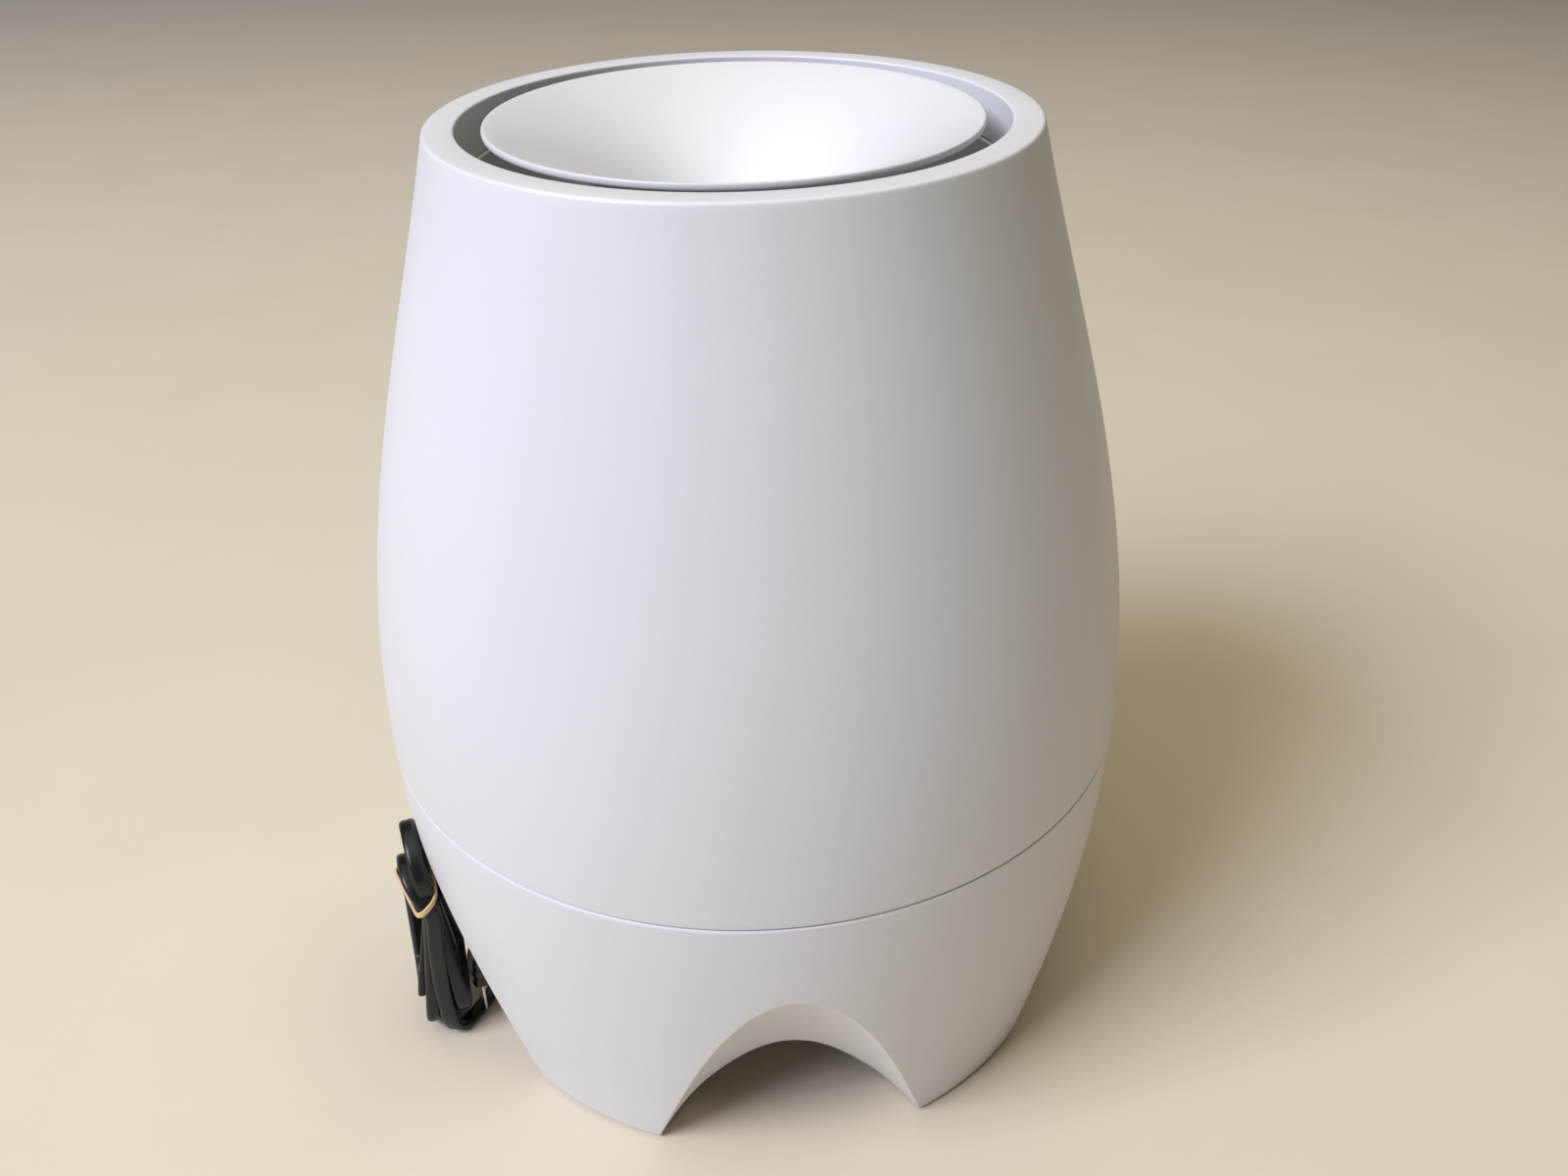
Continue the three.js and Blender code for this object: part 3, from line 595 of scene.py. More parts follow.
FINISHES = (
    Finish("body_plastic", (0.80, 0.80, 0.83), 0.42, 2600, 0.012, 0.012, 0.05),
    Finish("inner_plastic", (0.70, 0.70, 0.70), 0.55, 1500, 0.02, 0.03, 0.12),
    Finish("grey_plastic", (0.15, 0.155, 0.165), 0.5, 1400, 0.03, 0.05, 0.12),
    Finish("black_lead", (0.0052, 0.0085, 0.0095), 0.36, 900, 0.03, 0.12, 0.03),
    Finish("black_plastic", (0.008, 0.009, 0.010), 0.34, 1100, 0.03, 0.10, 0.04),
    Finish("rubber", (0.020, 0.020, 0.021), 0.78, 1300, 0.05, 0.15, 0.2, sheen=0.2),
    Finish("steel", (0.55, 0.55, 0.56), 0.30, 2200, 0.006, 0.04, 0.06, Pattern.BRUSHED, 1.0,
           second=(0.44, 0.44, 0.45)),
    Finish("plated_blade", (0.66, 0.64, 0.60), 0.2, 2400, 0.004, 0.04, 0.05, Pattern.BRUSHED, 1.0,
           second=(0.55, 0.53, 0.49)),
    Finish("brass", (0.60, 0.41, 0.14), 0.32, 1600, 0.006, 0.06, 0.06, Pattern.BRUSHED, 1.0,
           second=(0.48, 0.31, 0.10)),
    Finish("felt", (0.62, 0.55, 0.43), 0.95, 700, 0.25, 0.08, 0.15, Pattern.FELTED, sheen=0.5,
           second=(0.74, 0.68, 0.56)),
    Finish("filter_foam", (0.012, 0.013, 0.014), 0.95, 900, 0.6, 0.1, 0.2, Pattern.CELLS,
           second=(0.045, 0.047, 0.05)),
    Finish("board_laminate", (0.012, 0.085, 0.038), 0.4, 320, 0.04, 0.06, 0.15, Pattern.PRINTED, coat=0.5,
           second=(0.03, 0.19, 0.09)),
    Finish("copper_winding", (0.42, 0.15, 0.05), 0.38, 620, 0.15, 0.05, 0.1, Pattern.WOUND, 0.6,
           second=(0.24, 0.08, 0.03)),
    Finish("tan_rubber", (0.82, 0.55, 0.28), 0.55, 1200, 0.03, 0.08, 0.1, sheen=0.2),
)


class Wardrobe:
    """Every finish as a material, by its slot."""

    def __init__(self) -> None:
        """Builds the groups and the materials."""
        groups = ShaderGroups()
        self.materials = {finish.slot: finish.build(groups) for finish in FINISHES}

    def dress(
        self, piece: bpy.types.Object, slot: str, body: Body, replaces: Sequence[str] = ()
    ) -> bpy.types.Object:
        """Gives a new piece its finish, the body that it rides on and the nodes that it stands for.

        Args:
            piece: The new piece.
            slot: The finish's slot.
            body: The body that carries it.
            replaces: CAD nodes that it stands for.

        Returns:
            The same piece.
        """
        piece.data.materials.clear()
        piece.data.materials.append(self.materials[slot])
        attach(piece, body.value)
        if replaces:
            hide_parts(*replaces)
        LOG.info("%s: %d faces, rides on %s", piece.name, len(piece.data.polygons), body.value)
        return piece

    def dress_frame(self, frame: dict) -> None:
        """Gives every CAD node the finish that the record names for it.

        Args:
            frame: The frame that was loaded.
        """
        for row in frame["record"]["subparts"]:
            node = frame["nodes"][row["node"]]
            if not node.material_slots:
                node.data.materials.append(None)
            for place in node.material_slots:
                place.material = self.materials[row["material_slot"]]


# ------------------------------------------------------------------ the studio


@dataclass
class Studio:
    """Camera, floor and lights.

    Attributes:
        eye: The camera's place.
        forward: The way it looks.
        right: Its level right-hand direction.
        roll: Its roll in degrees.
        lens: Focal length for a sensor 36 wide.
    """

    eye: tuple[float, float, float] = (-31.3, -450.5, 454.2)
    forward: tuple[float, float, float] = (0.0826, 0.8426, -0.5323)
    right: tuple[float, float, float] = (0.99523, -0.09758, 0.0)
    roll: float = -1.14
    lens: float = 31.51

    def add_camera(self) -> None:
        """Stands the camera at its place: its axes are right, right x forward and -forward, rolled."""
        ahead = np.array(self.forward) / np.linalg.norm(self.forward)
        side = np.array(self.right) - ahead * (ahead @ np.array(self.right))
        side /= np.linalg.norm(side)
        up = np.cross(side, ahead)
        c, s = math.cos(math.radians(self.roll)), math.sin(math.radians(self.roll))
        axes = np.stack([c * side + s * up, c * up - s * side, -ahead], axis=1)
        matrix = np.eye(4)
        matrix[:3, :3] = axes
        matrix[:3, 3] = np.array(self.eye) * MM
        data = bpy.data.cameras.new("camera")
        data.lens, data.sensor_width = self.lens, 36.0
        data.clip_start, data.clip_end = 0.02, 60.0
        camera = bpy.data.objects.new("camera", data)
        bpy.context.scene.collection.objects.link(camera)
        camera.matrix_world = Matrix(matrix.tolist())
        bpy.context.scene.camera = camera

    def add_floor(self) -> None:
        """A wide pale floor."""
        mesh = bpy.data.meshes.new("floor")
        half = 12.0
        corners = [(-half, -half, 0), (half, -half, 0), (half, half, 0), (-half, half, 0)]
        mesh.from_pydata(corners, [], [(0, 1, 2, 3)])
        floor = bpy.data.objects.new("floor", mesh)
        bpy.context.scene.collection.objects.link(floor)
        material = bpy.data.materials.new("floor")
        material.use_nodes = True
        tree = material.node_tree
        shader = tree.nodes["Principled BSDF"]
        shader.inputs["Roughness"].default_value = 0.62
        where = tree.nodes.new("ShaderNodeTexCoord").outputs["Object"]
        noise = tree.nodes.new("ShaderNodeTexNoise")
        noise.inputs["Scale"].default_value = 9.0
        noise.inputs["Detail"].default_value = 6.0
        tree.links.new(where, noise.inputs["Vector"])
        ramp = tree.nodes.new("ShaderNodeValToRGB")
        low, high = ramp.color_ramp.elements
        low.color, high.color = (0.76, 0.68, 0.53, 1), (0.82, 0.74, 0.59, 1)
        tree.links.new(noise.outputs["Fac"], ramp.inputs["Fac"])
        tree.links.new(ramp.outputs["Color"], shader.inputs["Base Color"])
        mesh.materials.append(material)

    def add_lights(self) -> None:
        """A high cool window light from the left, a warm ceiling glow and a faint warm surround."""
        self._area("window", (-3150, -1750, 3900), (20, 0, 170), (2.6, 2.2), 276, (0.81, 0.85, 1.0))
        self._area("ceiling", (0, 100, 2200), (0, 0, 150), (2.4, 2.4), 24, (1.0, 0.91, 0.68))
        world = bpy.data.worlds.new("surround")
        world.use_nodes = True
        background = world.node_tree.nodes["Background"]
        background.inputs["Color"].default_value = (1.0, 0.95, 0.86, 1)
        background.inputs["Strength"].default_value = 0.02
        bpy.context.scene.world = world
        bpy.context.scene.view_settings.view_transform = "Standard"

    @staticmethod
    def _area(
        name: str,
        place: tuple[float, float, float],
        target: tuple[float, float, float],
        size: tuple[float, float],
        watts: float,
        color: tuple[float, float, float],
    ) -> None:
        """A rectangular light that points at a target.

        Args:
            name: The lamp's name.
            place: Where it stands.
            target: What it points at.
            size: Width and height in metres.
            watts: Its power.
            color: Its colour.
        """
        data = bpy.data.lights.new(name, "AREA")
        data.shape, data.size, data.size_y = "RECTANGLE", *size
        data.energy, data.color = watts, color
        lamp = bpy.data.objects.new(name, data)
        bpy.context.scene.collection.objects.link(lamp)
        lamp.location = Vector(place) * MM
        lamp.rotation_mode = "QUATERNION"
        lamp.rotation_quaternion = (Vector(target) - Vector(place)).to_track_quat("-Z", "Y")


# ------------------------------------------------------------------ the base


@dataclass
class ArchedShell:
    """The base's outer shell: a turned wall on five legs, with a scooped arch between each two.

    An arch is the space under a parabola whose height and half width grow evenly with the reach. The
    shell's section runs down the wall, in along the scoop or the leg's underside, up the skirt, and back
    over the hood and up the wall's inner side, so the mesh is one closed sheet.
    """

    top: float = 131.0
    wall: float = 3.0
    foot: float = 1.5
    skirt: float = 106.0
    skirt_top: float = 41.3
    rise: float = 4.6
    side: float = 2.8
    arches: int = 5
    edge: float = 0.5
    top_edge: float = 1.2
    dial_z: float = 95.0
    pocket: float = 21.5
    pocket_floor: float = 126.7

    def scoop(self, reach: Array, tau: Array, rise: float, side: float, floor: float) -> Array:
        """Points of an arch surface.

        x = t w and z = h (1 - t^2), where h = 36 + 1.727 (reach - 106), w = 40 + 0.599 (reach - 98.2), and
        t is tau scaled so that tau = 1 lies at the floor height.

        Args:
            reach: Distance out from the axis.
            tau: Place across the arch, from -1 to 1.
            rise: Added to the height.
            side: Added to the half width.
            floor: Height at tau = 1.

        Returns:
            Points with the arch facing -Y.
        """
        height = 36 + 1.727 * (reach - 106) + rise
        half = 40 + 0.599 * (reach - 98.2) + side
        t = tau * np.sqrt(np.clip(1 - floor / height, 0, 1))
        return np.stack([t * half, -reach, height * (1 - t * t)], axis=-1)

    def edge_line(
        self, radius: Callable[[Array], Array], tau: Array, rise: float, side: float, floor: float
    ) -> Array:
        """Where an arch surface meets a turned wall, found by repeated substitution.

        Args:
            radius: The wall's radius as a function of height.
            tau: Places across the arch, from -1 to 1.
            rise: Added to the arch's height.
            side: Added to the arch's half width.
            floor: Height of the arch's ends.

        Returns:
            The edge line, one point for each tau.
        """
        reach = np.full_like(tau, 120.0)
        for _ in range(40):
            x, _, z = self.scoop(reach, tau, rise, side, floor).T
            reach = np.sqrt(np.maximum(radius(z) ** 2 - x * x, 1.0))
        return self.scoop(reach, tau, rise, side, floor)

    def around(self, radius: Callable[[Array], Array], rise: float, side: float, floor: float) -> Array:
        """One edge line all the way round: over each arch, then straight along each leg's foot.

        Args:
            radius: The wall's radius as a function of height.
            rise: Added to the arch's height.
            side: Added to the arch's half width.
            floor: Height of the arch's ends.

        Returns:
            The closed edge line.
        """
        tau = np.sin(np.linspace(-1, 1, 61) * math.pi / 2 * 0.999) * 0.5 + np.linspace(-1, 1, 61) * 0.5
        arch = self.edge_line(radius, tau / tau[-1], rise, side, floor)
        step = 360 / self.arches
        last = math.degrees(math.atan2(arch[-1, 0], -arch[-1, 1]))
        azimuth = np.linspace(last, step - last, 16)[1:-1]
        leg = polar(float(radius(np.array(floor))), azimuth, floor)
        sector = np.concatenate([arch, leg])
        return np.concatenate([spin(sector, i * step) for i in range(self.arches)])

    @staticmethod
    def between(start: Array, end: Array, rows: int) -> Array:
        """Rows of straight lines from one edge line to another, both ends included."""
        share = np.linspace(0, 1, rows)[:, None, None]
        return start * (1 - share) + end * share

    @staticmethod
    def up_wall(edge: Array, top: float, rows: int, inset: float) -> Array:
        """Rows up the barrel's wall from an edge line to a height, at each point's own azimuth.

        Args:
            edge: The edge line that the rows start from.
            top: The upper height.
            rows: How many rows are made.
            inset: How far inside the outer wall they lie.

        Returns:
            Grid of rows.
        """
        share = np.linspace(0, 1, rows)[:, None]
        z = edge[:, 2] * (1 - share) + top * share
        azimuth = np.degrees(np.arctan2(edge[:, 0], -edge[:, 1]))
        return polar(barrel_radius(z) - inset, azimuth, z)

    @staticmethod
    def soften(sections: list[Array], radii: list[float], steps: int = 5) -> Array:
        """Joins the sections into one grid of rows, with the corner after each section rounded.

        A corner P becomes (1-t)^2 A + 2t(1-t) P + t^2 B, with A and B a radius away on the two sections.

        Args:
            sections: Sections of rows, each of which ends where the next one starts.
            radii: The corner radius after each section.
            steps: Rows on each rounded corner.

        Returns:
            Grid of rows.
        """
        rows = []
        for here, after, radius in zip(sections, sections[1:] + sections[:1], radii):
            corner = here[-1]
            ends = []
            for other in (here[-2], after[1]):
                line = other - corner
                length = np.linalg.norm(line, axis=1, keepdims=True)
                ends.append(corner + line / np.maximum(length, 1e-9) * np.minimum(radius, 0.7 * length))
            t = np.linspace(0, 1, steps)[:, None, None]
            curve = (1 - t) ** 2 * ends[0] + 2 * t * (1 - t) * corner + t**2 * ends[1]
            rows += [here[1:-1], curve]
        return np.concatenate(rows)

    def grid(self) -> Array:
        """The closed section carried all the way round.

        Returns:
            Grid of rows.
        """
        outer = self.around(barrel_radius, 0, 0, self.foot)
        inner = self.around(lambda z: np.full_like(z, self.skirt), 0, 0, self.foot)
        behind = self.skirt + self.wall
        hood = self.around(lambda z: np.full_like(z, behind), self.rise, self.side, self.foot + self.wall)
        inside = self.around(
            lambda z: barrel_radius(z) - self.wall, self.rise, self.side, self.foot + self.wall
        )
        skirt_edge, back_edge = inner.copy(), hood.copy()
        skirt_edge[:, 2] = back_edge[:, 2] = self.skirt_top
        wall = self.up_wall(outer, self.top, 40, 0)[::-1]
        back = self.up_wall(inside, self.top, 26, self.wall)
        sections = [
            wall,
            self.between(outer, inner, 18),
            self.between(inner, skirt_edge, 6),
            self.between(skirt_edge, back_edge, 3),
            self.between(back_edge, hood, 4),
            self.between(hood, inside, 10),
            back,
            self.between(back[-1], wall[0], 3),
        ]
        return self.soften(sections, [self.edge] * (len(sections) - 1) + [self.top_edge])

    def pocket_plug(self) -> bpy.types.Object:
        """A solid post behind the dial's pocket, whose end follows the middle of the wall.

        Returns:
            The post.
        """
        outer, back = self.pocket + 2.5, self.pocket_floor - self.wall
        a = np.linspace(0, 2 * np.pi, 96, endpoint=False)
        share = np.array([0.0, 0.5, 1.0, 1.0, 0.75, 0.5, 0.25, 0.0])[:, None]
        x, z = outer * share * np.cos(a), self.dial_z + outer * share * np.sin(a)
        end = np.sqrt((barrel_radius(z) - 1.5) ** 2 - x * x)
        y = np.where(np.arange(8)[:, None] < 3, back, end)
        return make_piece("pocket_post", np.stack([x, y, z], axis=2), close_rows=False)

    def tool(self, radius: float, low: float, high: float) -> bpy.types.Object:
        """A round cutter along +Y at the dial's height.

        Args:
            radius: A radius in millimetres.
            low: Where it starts along +Y.
            high: Where it ends along +Y.

        Returns:
            The cutter.
        """
        a = np.linspace(0, 2 * np.pi, 96, endpoint=False)
        share, y = np.array([[0.0], [1.0], [1.0], [0.0]]), np.array([[low], [low], [high], [high]])
        x, z = radius * share * np.cos(a), self.dial_z + radius * share * np.sin(a)
        return make_piece("cutter", np.stack([x, np.broadcast_to(y, x.shape), z], axis=2), close_rows=False)

    def build(self) -> bpy.types.Object:
        """The whole shell with the dial's pocket.

        Returns:
            The shell.
        """
        shell = make_piece("arched_base_shell", self.grid())
        combine(shell, self.pocket_plug(), "UNION")
        combine(shell, self.tool(self.pocket, self.pocket_floor, 160), "DIFFERENCE")
        combine(shell, self.tool(4.6, 110, 160), "DIFFERENCE")
        return shell


@dataclass
class Base:
    """The legged base and what it carries."""

    shell: ArchedShell = field(default_factory=ArchedShell)
    pads: int = 5

    def foot_pad(self, azimuth: float) -> Array:
        """A flat oval pad with a rounded lower edge: rows of ovals that shrink towards the floor.

        Args:
            azimuth: The azimuth in degrees.

        Returns:
            Grid of rows.
        """
        a = np.linspace(0, 2 * np.pi, 48, endpoint=False)
        inset = np.array([[5.0], [0.5], [0.12], [0.0], [0.0], [0.1], [5.0]])
        z = np.array([[0.0], [0.0], [0.12], [0.5], [1.0], [1.2], [1.2]])
        flat = np.clip(np.cos(a) * 3, -1, 1) * 9
        x = flat + (5 - inset) * np.cos(a)
        y = (5 - inset) * np.sin(a)
        pad = np.stack([x, y, np.broadcast_to(z, x.shape)], axis=2)
        return spin(pad, azimuth) + polar(116.0, azimuth, 0.0)

    def build(self, wardrobe: Wardrobe) -> None:
        """Makes the shell and the five pads.

        Args:
            wardrobe: What dresses the finished pieces.
        """
        wardrobe.dress(self.shell.build(), "body_plastic", Body.BASE, ["base_shell"])
        for i in range(self.pads):
            pad = make_piece(f"rubber_pad_{i + 1}", self.foot_pad(72 * (i + 0.5)), close_rows=False)
            wardrobe.dress(pad, "rubber", Body.BASE, [f"foot_pad_{i + 1}"])


# ------------------------------------------------------------------ the barrel and the dish


@dataclass
class Barrel:
    """The barrel's shell with its flat rim, and the outlet collar below the rim."""

    low: float = 131.7
    top: float = 350.0
    rim: float = 88.0
    rim_depth: float = 16.0
    wall: float = 3.0

    def shell_profile(self) -> Array:
        """The wall's outer line, the flat rim, the straight inner wall and its step, then the inner line.

        Returns:
            The closed outline.
        """
        step, skirt = self.top - self.rim_depth, self.rim + 2.6
        corners = [
            *line_rows(barrel_line(self.low, self.low, 1), 0.6),
            *line_rows(barrel_line(self.low + 3, self.top - 3, 90)),
            (98.0, self.top, 1.1),
            (self.rim, self.top, 0.9),
            (self.rim, step, 0.4),
            (skirt, step, 0.3),
            (skirt, self.top - 4, 1.5),
            *line_rows(barrel_line(self.top - 5, 147, 30, self.wall)),
            (133.0, 144.8, 0.4),
            (133.0, 141.9, 0.4),
            *line_rows(barrel_line(141.9, 141.9, 1, self.wall), 0.3),
            *line_rows(barrel_line(self.low, self.low, 1, self.wall), 0.4),
        ]
        return rounded(corners)

    def collar_profile(self) -> Array:
        """A quarter-oval bowl that sinks from the rim's step to the duct, with its thickness below it.

        Returns:
            The closed outline.
        """
        flange, throat, duct = self.top - self.rim_depth - 0.3, 296.0, 57.5
        a = np.linspace(0, np.pi / 2, 28)

        def bowl(wall: float) -> Array:
            """The bowl's quarter oval, a wall further out and down: (r0 + A cos a, z0 - B sin a)."""
            wide, deep = 86.4 - duct + wall, flange - throat + wall
            return np.stack([duct + wide * np.cos(a), flange - deep * np.sin(a)], axis=1)

        under = bowl(2.6)[::-1]
        under = under[(under[:, 1] < flange - 3.2) & (under[:, 0] > 61)]
        corners = [
            (90.1, flange, 0.4), *line_rows(bowl(0.0)), (duct, 256.4, 0.3), (60.0, 256.4, 0.3),
            (60.0, throat - 2.6, 0.8), *line_rows(under), (90.1, flange - 2.8, 0.4),
        ]
        return rounded(corners)

    def build(self, wardrobe: Wardrobe) -> None:
        """Makes the shell and the collar.

        Args:
            wardrobe: What dresses the finished pieces.
        """
        shell = make_piece("barrel_shell", turn(self.shell_profile(), 240))
        wardrobe.dress(shell, "body_plastic", Body.BARREL, ["body_shell"])
        collar = make_piece("outlet_bowl", turn(self.collar_profile(), 180))
        wardrobe.dress(collar, "inner_plastic", Body.BARREL, ["outlet_collar"])


@dataclass
class ScentDish:
    """The lift-out trumpet dish."""

    lip: float = 80.0
    top: float = 349.7
    depth: float = 56.0
    well: float = 9.0
    wall: float = 2.4
    hole: float = 4.0

    def trumpet(self) -> Array:
        """The dish's upper line.

        With u from 0 to 0.985, the radius falls evenly and the sink is 0.6 (1 - sqrt(1 - u^2)) + 0.4 u of
        the depth, so the slope is gentle at the lip and steep at the well.

        Returns:
            Points of (radius, height), from the lip inwards.
        """
        u = 0.985 * np.sin(np.linspace(0, np.pi / 2, 72))
        sink = 0.6 * (1 - np.sqrt(1 - u * u)) + 0.4 * u
        start = self.lip - 1.2
        return np.stack([start - (start - self.well) * u, self.top - self.depth * sink], axis=1)

    def profile(self) -> Array:
        """Upper line, rounded lip, under line a wall below it, and the short spigot.

        Returns:
            The closed outline.
        """
        upper = self.trumpet()
        along = np.gradient(upper, axis=0)
        normal = np.stack([along[:, 1], -along[:, 0]], axis=1) / np.linalg.norm(along, axis=1, keepdims=True)
        under = upper + normal * np.where(normal[:, 1:] < 0, 1, -1) * self.wall
        floor = self.top - self.depth
        under = under[(under[:, 1] > floor - self.wall + 0.6) & (under[:, 0] < self.lip - 2.2)]
        base = floor - self.wall
        corners = [
            (self.hole, floor, 0.5), (self.well, floor, 1.0), *line_rows(upper[::-1][1:]),
            (self.lip - 0.2, self.top + 0.1, 0.9), (self.lip, self.top - 2.0, 1.0), *line_rows(under),
            (self.well + 3, base, 0.5), (9.6, base - 8, 0.4), (7.4, base - 8, 0.3), (7.4, base, 0.3),
            (self.hole, base, 0.3),
        ]
        return rounded(corners)

    def build(self, wardrobe: Wardrobe) -> None:
        """Makes the dish."""
        dish = make_piece("trumpet_dish", turn(self.profile(), 220))
        wardrobe.dress(dish, "body_plastic", Body.DISH, ["scent_dish"])


# ------------------------------------------------------------------ the cord


@dataclass(frozen=True)
class Turn:
    """One turn of the hank.

    Attributes:
        high: Fold radius at the top.
        high_z: Height of the top fold's centre.
        high_reach: Reach of the strap at the top.
        near: Place across at the band where the turn begins, on the near side.
        far: Place across at the band on the far side, measured backwards.
        band_reach: Reach of the strap at the band.
        low: Fold radius at the foot, or 0 for the last turn, which has no foot.
        low_z: Height of the foot fold's centre.
        low_reach: Reach of the strap at the foot.
        lean: Shift of the foot fold towards the near side.
        skew: Growth of the reach with the place across, at the band.
    """

    high: float
    high_z: float
    high_reach: float
    near: float
    far: float
    band_reach: float
    low: float = 0.0
    low_z: float = 0.0
    low_reach: float = 141.0
    lean: float = 0.0
    skew: float = 0.08


@dataclass
class MainsCord:
    """The flat two-core mains cord: its lead, the banded hank, the tail and the plug.

    The hank's own frame is (reach, across, z): reach out from the axis at the hank's azimuth, and across
    at right angles to it, growing towards the front. The lead and the tail are rows of that frame too,
    with the direction of the cord's width as a fourth number, in degrees from outwards towards the rear.
    """

    width: float = 6.0
    thickness: float = 3.2
    azimuth: float = -73.5
    lead_azimuth: float = -80.0
    tail_azimuth: float = -69.8
    plug_reach: float = 122.3
    band_z: float = 69.0
    band_lift: float = 5.5
    band_slope: float = 0.75
    band_middle: float = 143.2
    band_gap: float = 0.7
    turns: tuple[Turn, ...] = (
        Turn(15.0, 69.0, 147.2, 18.4, 11.6, 145.4, 14.6, 16.6, 147.2, 0.0, -0.18),
        Turn(11.7, 69.0, 147.0, 15.1, 8.3, 145.4, 11.0, 27.5, 149.6, 0.0, -0.18),
        Turn(6.5, 80.4, 143.4, 1.9, 1.9, 140.9, 11.5, 22.5, 138.0),
        Turn(9.8, 80.4, 143.5, 5.2, 5.2, 140.9, 14.9, 16.8, 141.4),
        Turn(13.1, 80.4, 143.6, 8.5, 8.5, 140.9, 17.8, 23.2, 135.2, 0.5),
        Turn(16.4, 80.4, 143.7, 11.8, 11.8, 140.9),
    )
    lead: tuple[tuple[float, float, float, float], ...] = (
        (98.56, -11.23, 18.6, 97), (103.0, -11.3, 13.6, 95), (110, -9.8, 6.6, 85), (117, -5.5, 2.9, 65),
        (124, 1.5, 1.75, 50), (131, 8.5, 1.7, 45), (137.5, 13.8, 1.9, 40), (142.0, 16.8, 4.8, 30),
        (143.7, 18.2, 11, 20), (144.1, 18.6, 20, 12), (144.2, 18.6, 34, 6), (143.6, 18.5, 48, 2),
        (142.6, 18.4, 60, 0),
    )
    tail: tuple[tuple[float, float, float, float], ...] = (
        (138.6, -11.6, 62, 10), (134.5, -8.5, 56, 35), (129.5, -2.0, 53, 60), (125, 4.6, 51, 80),
        (122.4, 7.6, 47, 90), (122.05, 7.9, 42.6, 94),
    )

    def place(self, local: Array) -> Array:
        """Points or directions of (reach, across, z) in the object's frame.

        Args:
            local: Rows of (reach, across, z).

        Returns:
            The same rows as (x, y, z).
        """
        a = math.radians(self.azimuth)
        out = np.array([math.sin(a), -math.cos(a), 0])
        across = np.array([math.cos(a), math.sin(a), 0])
        return local[..., :1] * out + local[..., 1:2] * across + local[..., 2:3] * np.array([0, 0, 1.0])

    def reach_at(self, turn: Turn, across: Array, z: Array) -> Array:
        """Reach of a turn's strap.

        It is eased from the foot to the band and from the band to the top. It also grows with the place
        across, by the turn's skew at the band, 0.12 at the foot and 0.03 at the top.

        Args:
            turn: The turn.
            across: Places across the hank.
            z: Heights of the points.

        Returns:
            The reach of each point.
        """
        top = turn.high_z + turn.high
        down = smooth_step((self.band_z - z) / (self.band_z - 14))
        up = smooth_step((z - self.band_z) / (top - self.band_z))
        reach = turn.band_reach + (turn.low_reach - turn.band_reach) * down
        reach = reach + (turn.high_reach - turn.band_reach) * up
        return reach + across * (turn.skew + (0.12 - turn.skew) * down + (0.03 - turn.skew) * up)

    def turn_points(self, turn: Turn) -> Array:
        """Stations of one turn: up from the band's near side, over the top, down and round the foot.

        Args:
            turn: The turn.

        Returns:
            Stations as (reach, across, z).
        """
        over = np.radians([0, 30, 60, 90, 120, 150, 180])
        under = np.radians([180, 210, 240, 270, 300, 330, 360])
        middle = (turn.near - turn.far) / 2 * (abs(turn.near + turn.far - 2 * turn.high) < 1)
        top = np.stack([middle + turn.high * np.cos(over), turn.high_z + turn.high * np.sin(over)], axis=1)
        foot = np.stack([turn.lean + turn.low * np.cos(under), turn.low_z + turn.low * np.sin(under)], axis=1)
        near, far = np.array([[turn.near, self.band_z - 6]]), np.array([[-turn.far, self.band_z - 6]])
        flat = np.concatenate([near, top, far, foot] if turn.low else [near, top, far])
        return np.stack([self.reach_at(turn, flat[:, 0], flat[:, 1]), flat[:, 0], flat[:, 1]], axis=1)

    def route(self) -> tuple[Array, Array]:
        """The cord's centre line and the direction of its width, station by station.

        Returns:
            Points and unit width directions, both in the object's frame.
        """
        lead, tail = np.array(self.lead), np.array(self.tail)
        hank = np.concatenate([self.turn_points(turn) for turn in self.turns])
        points = self.place(np.concatenate([lead[:, :3], hank, tail[:, :3]]))
        angle = np.radians(np.concatenate([lead[:, 3], np.zeros(len(hank)), tail[:, 3]]))
        wide = np.stack([np.cos(angle), -np.sin(angle), np.zeros(len(angle))], axis=1)
        return points, self.place(wide)

    @staticmethod
    def smooth_curve(points: Array, spacing: float) -> Array:
        """A Catmull-Rom curve through stations, resampled at an even spacing.

        Args:
            points: Stations, any number of columns, the first three being the place.
            spacing: Distance between the new points.

        Returns:
            The resampled rows.
        """
        padded = np.concatenate([2 * points[:1] - points[1:2], points, 2 * points[-1:] - points[-2:-1]])
        p0, p1, p2, p3 = padded[:-3], padded[1:-2], padded[2:-1], padded[3:]
        t = np.linspace(0, 1, 16, endpoint=False)[None, :, None]
        p0, p1, p2, p3 = (p[:, None] for p in (p0, p1, p2, p3))
        curve = 0.5 * (
            2 * p1 + (p2 - p0) * t
            + (2 * p0 - 5 * p1 + 4 * p2 - p3) * t**2
            + (3 * p1 - p0 - 3 * p2 + p3) * t**3
        )
        curve = np.concatenate([curve.reshape(-1, points.shape[1]), points[-1:]])
        run = np.concatenate([[0], np.cumsum(np.linalg.norm(np.diff(curve[:, :3], axis=0), axis=1))])
        even = np.linspace(0, run[-1], int(run[-1] / spacing) + 1)
        return np.stack([np.interp(even, run, column) for column in curve.T], axis=1)

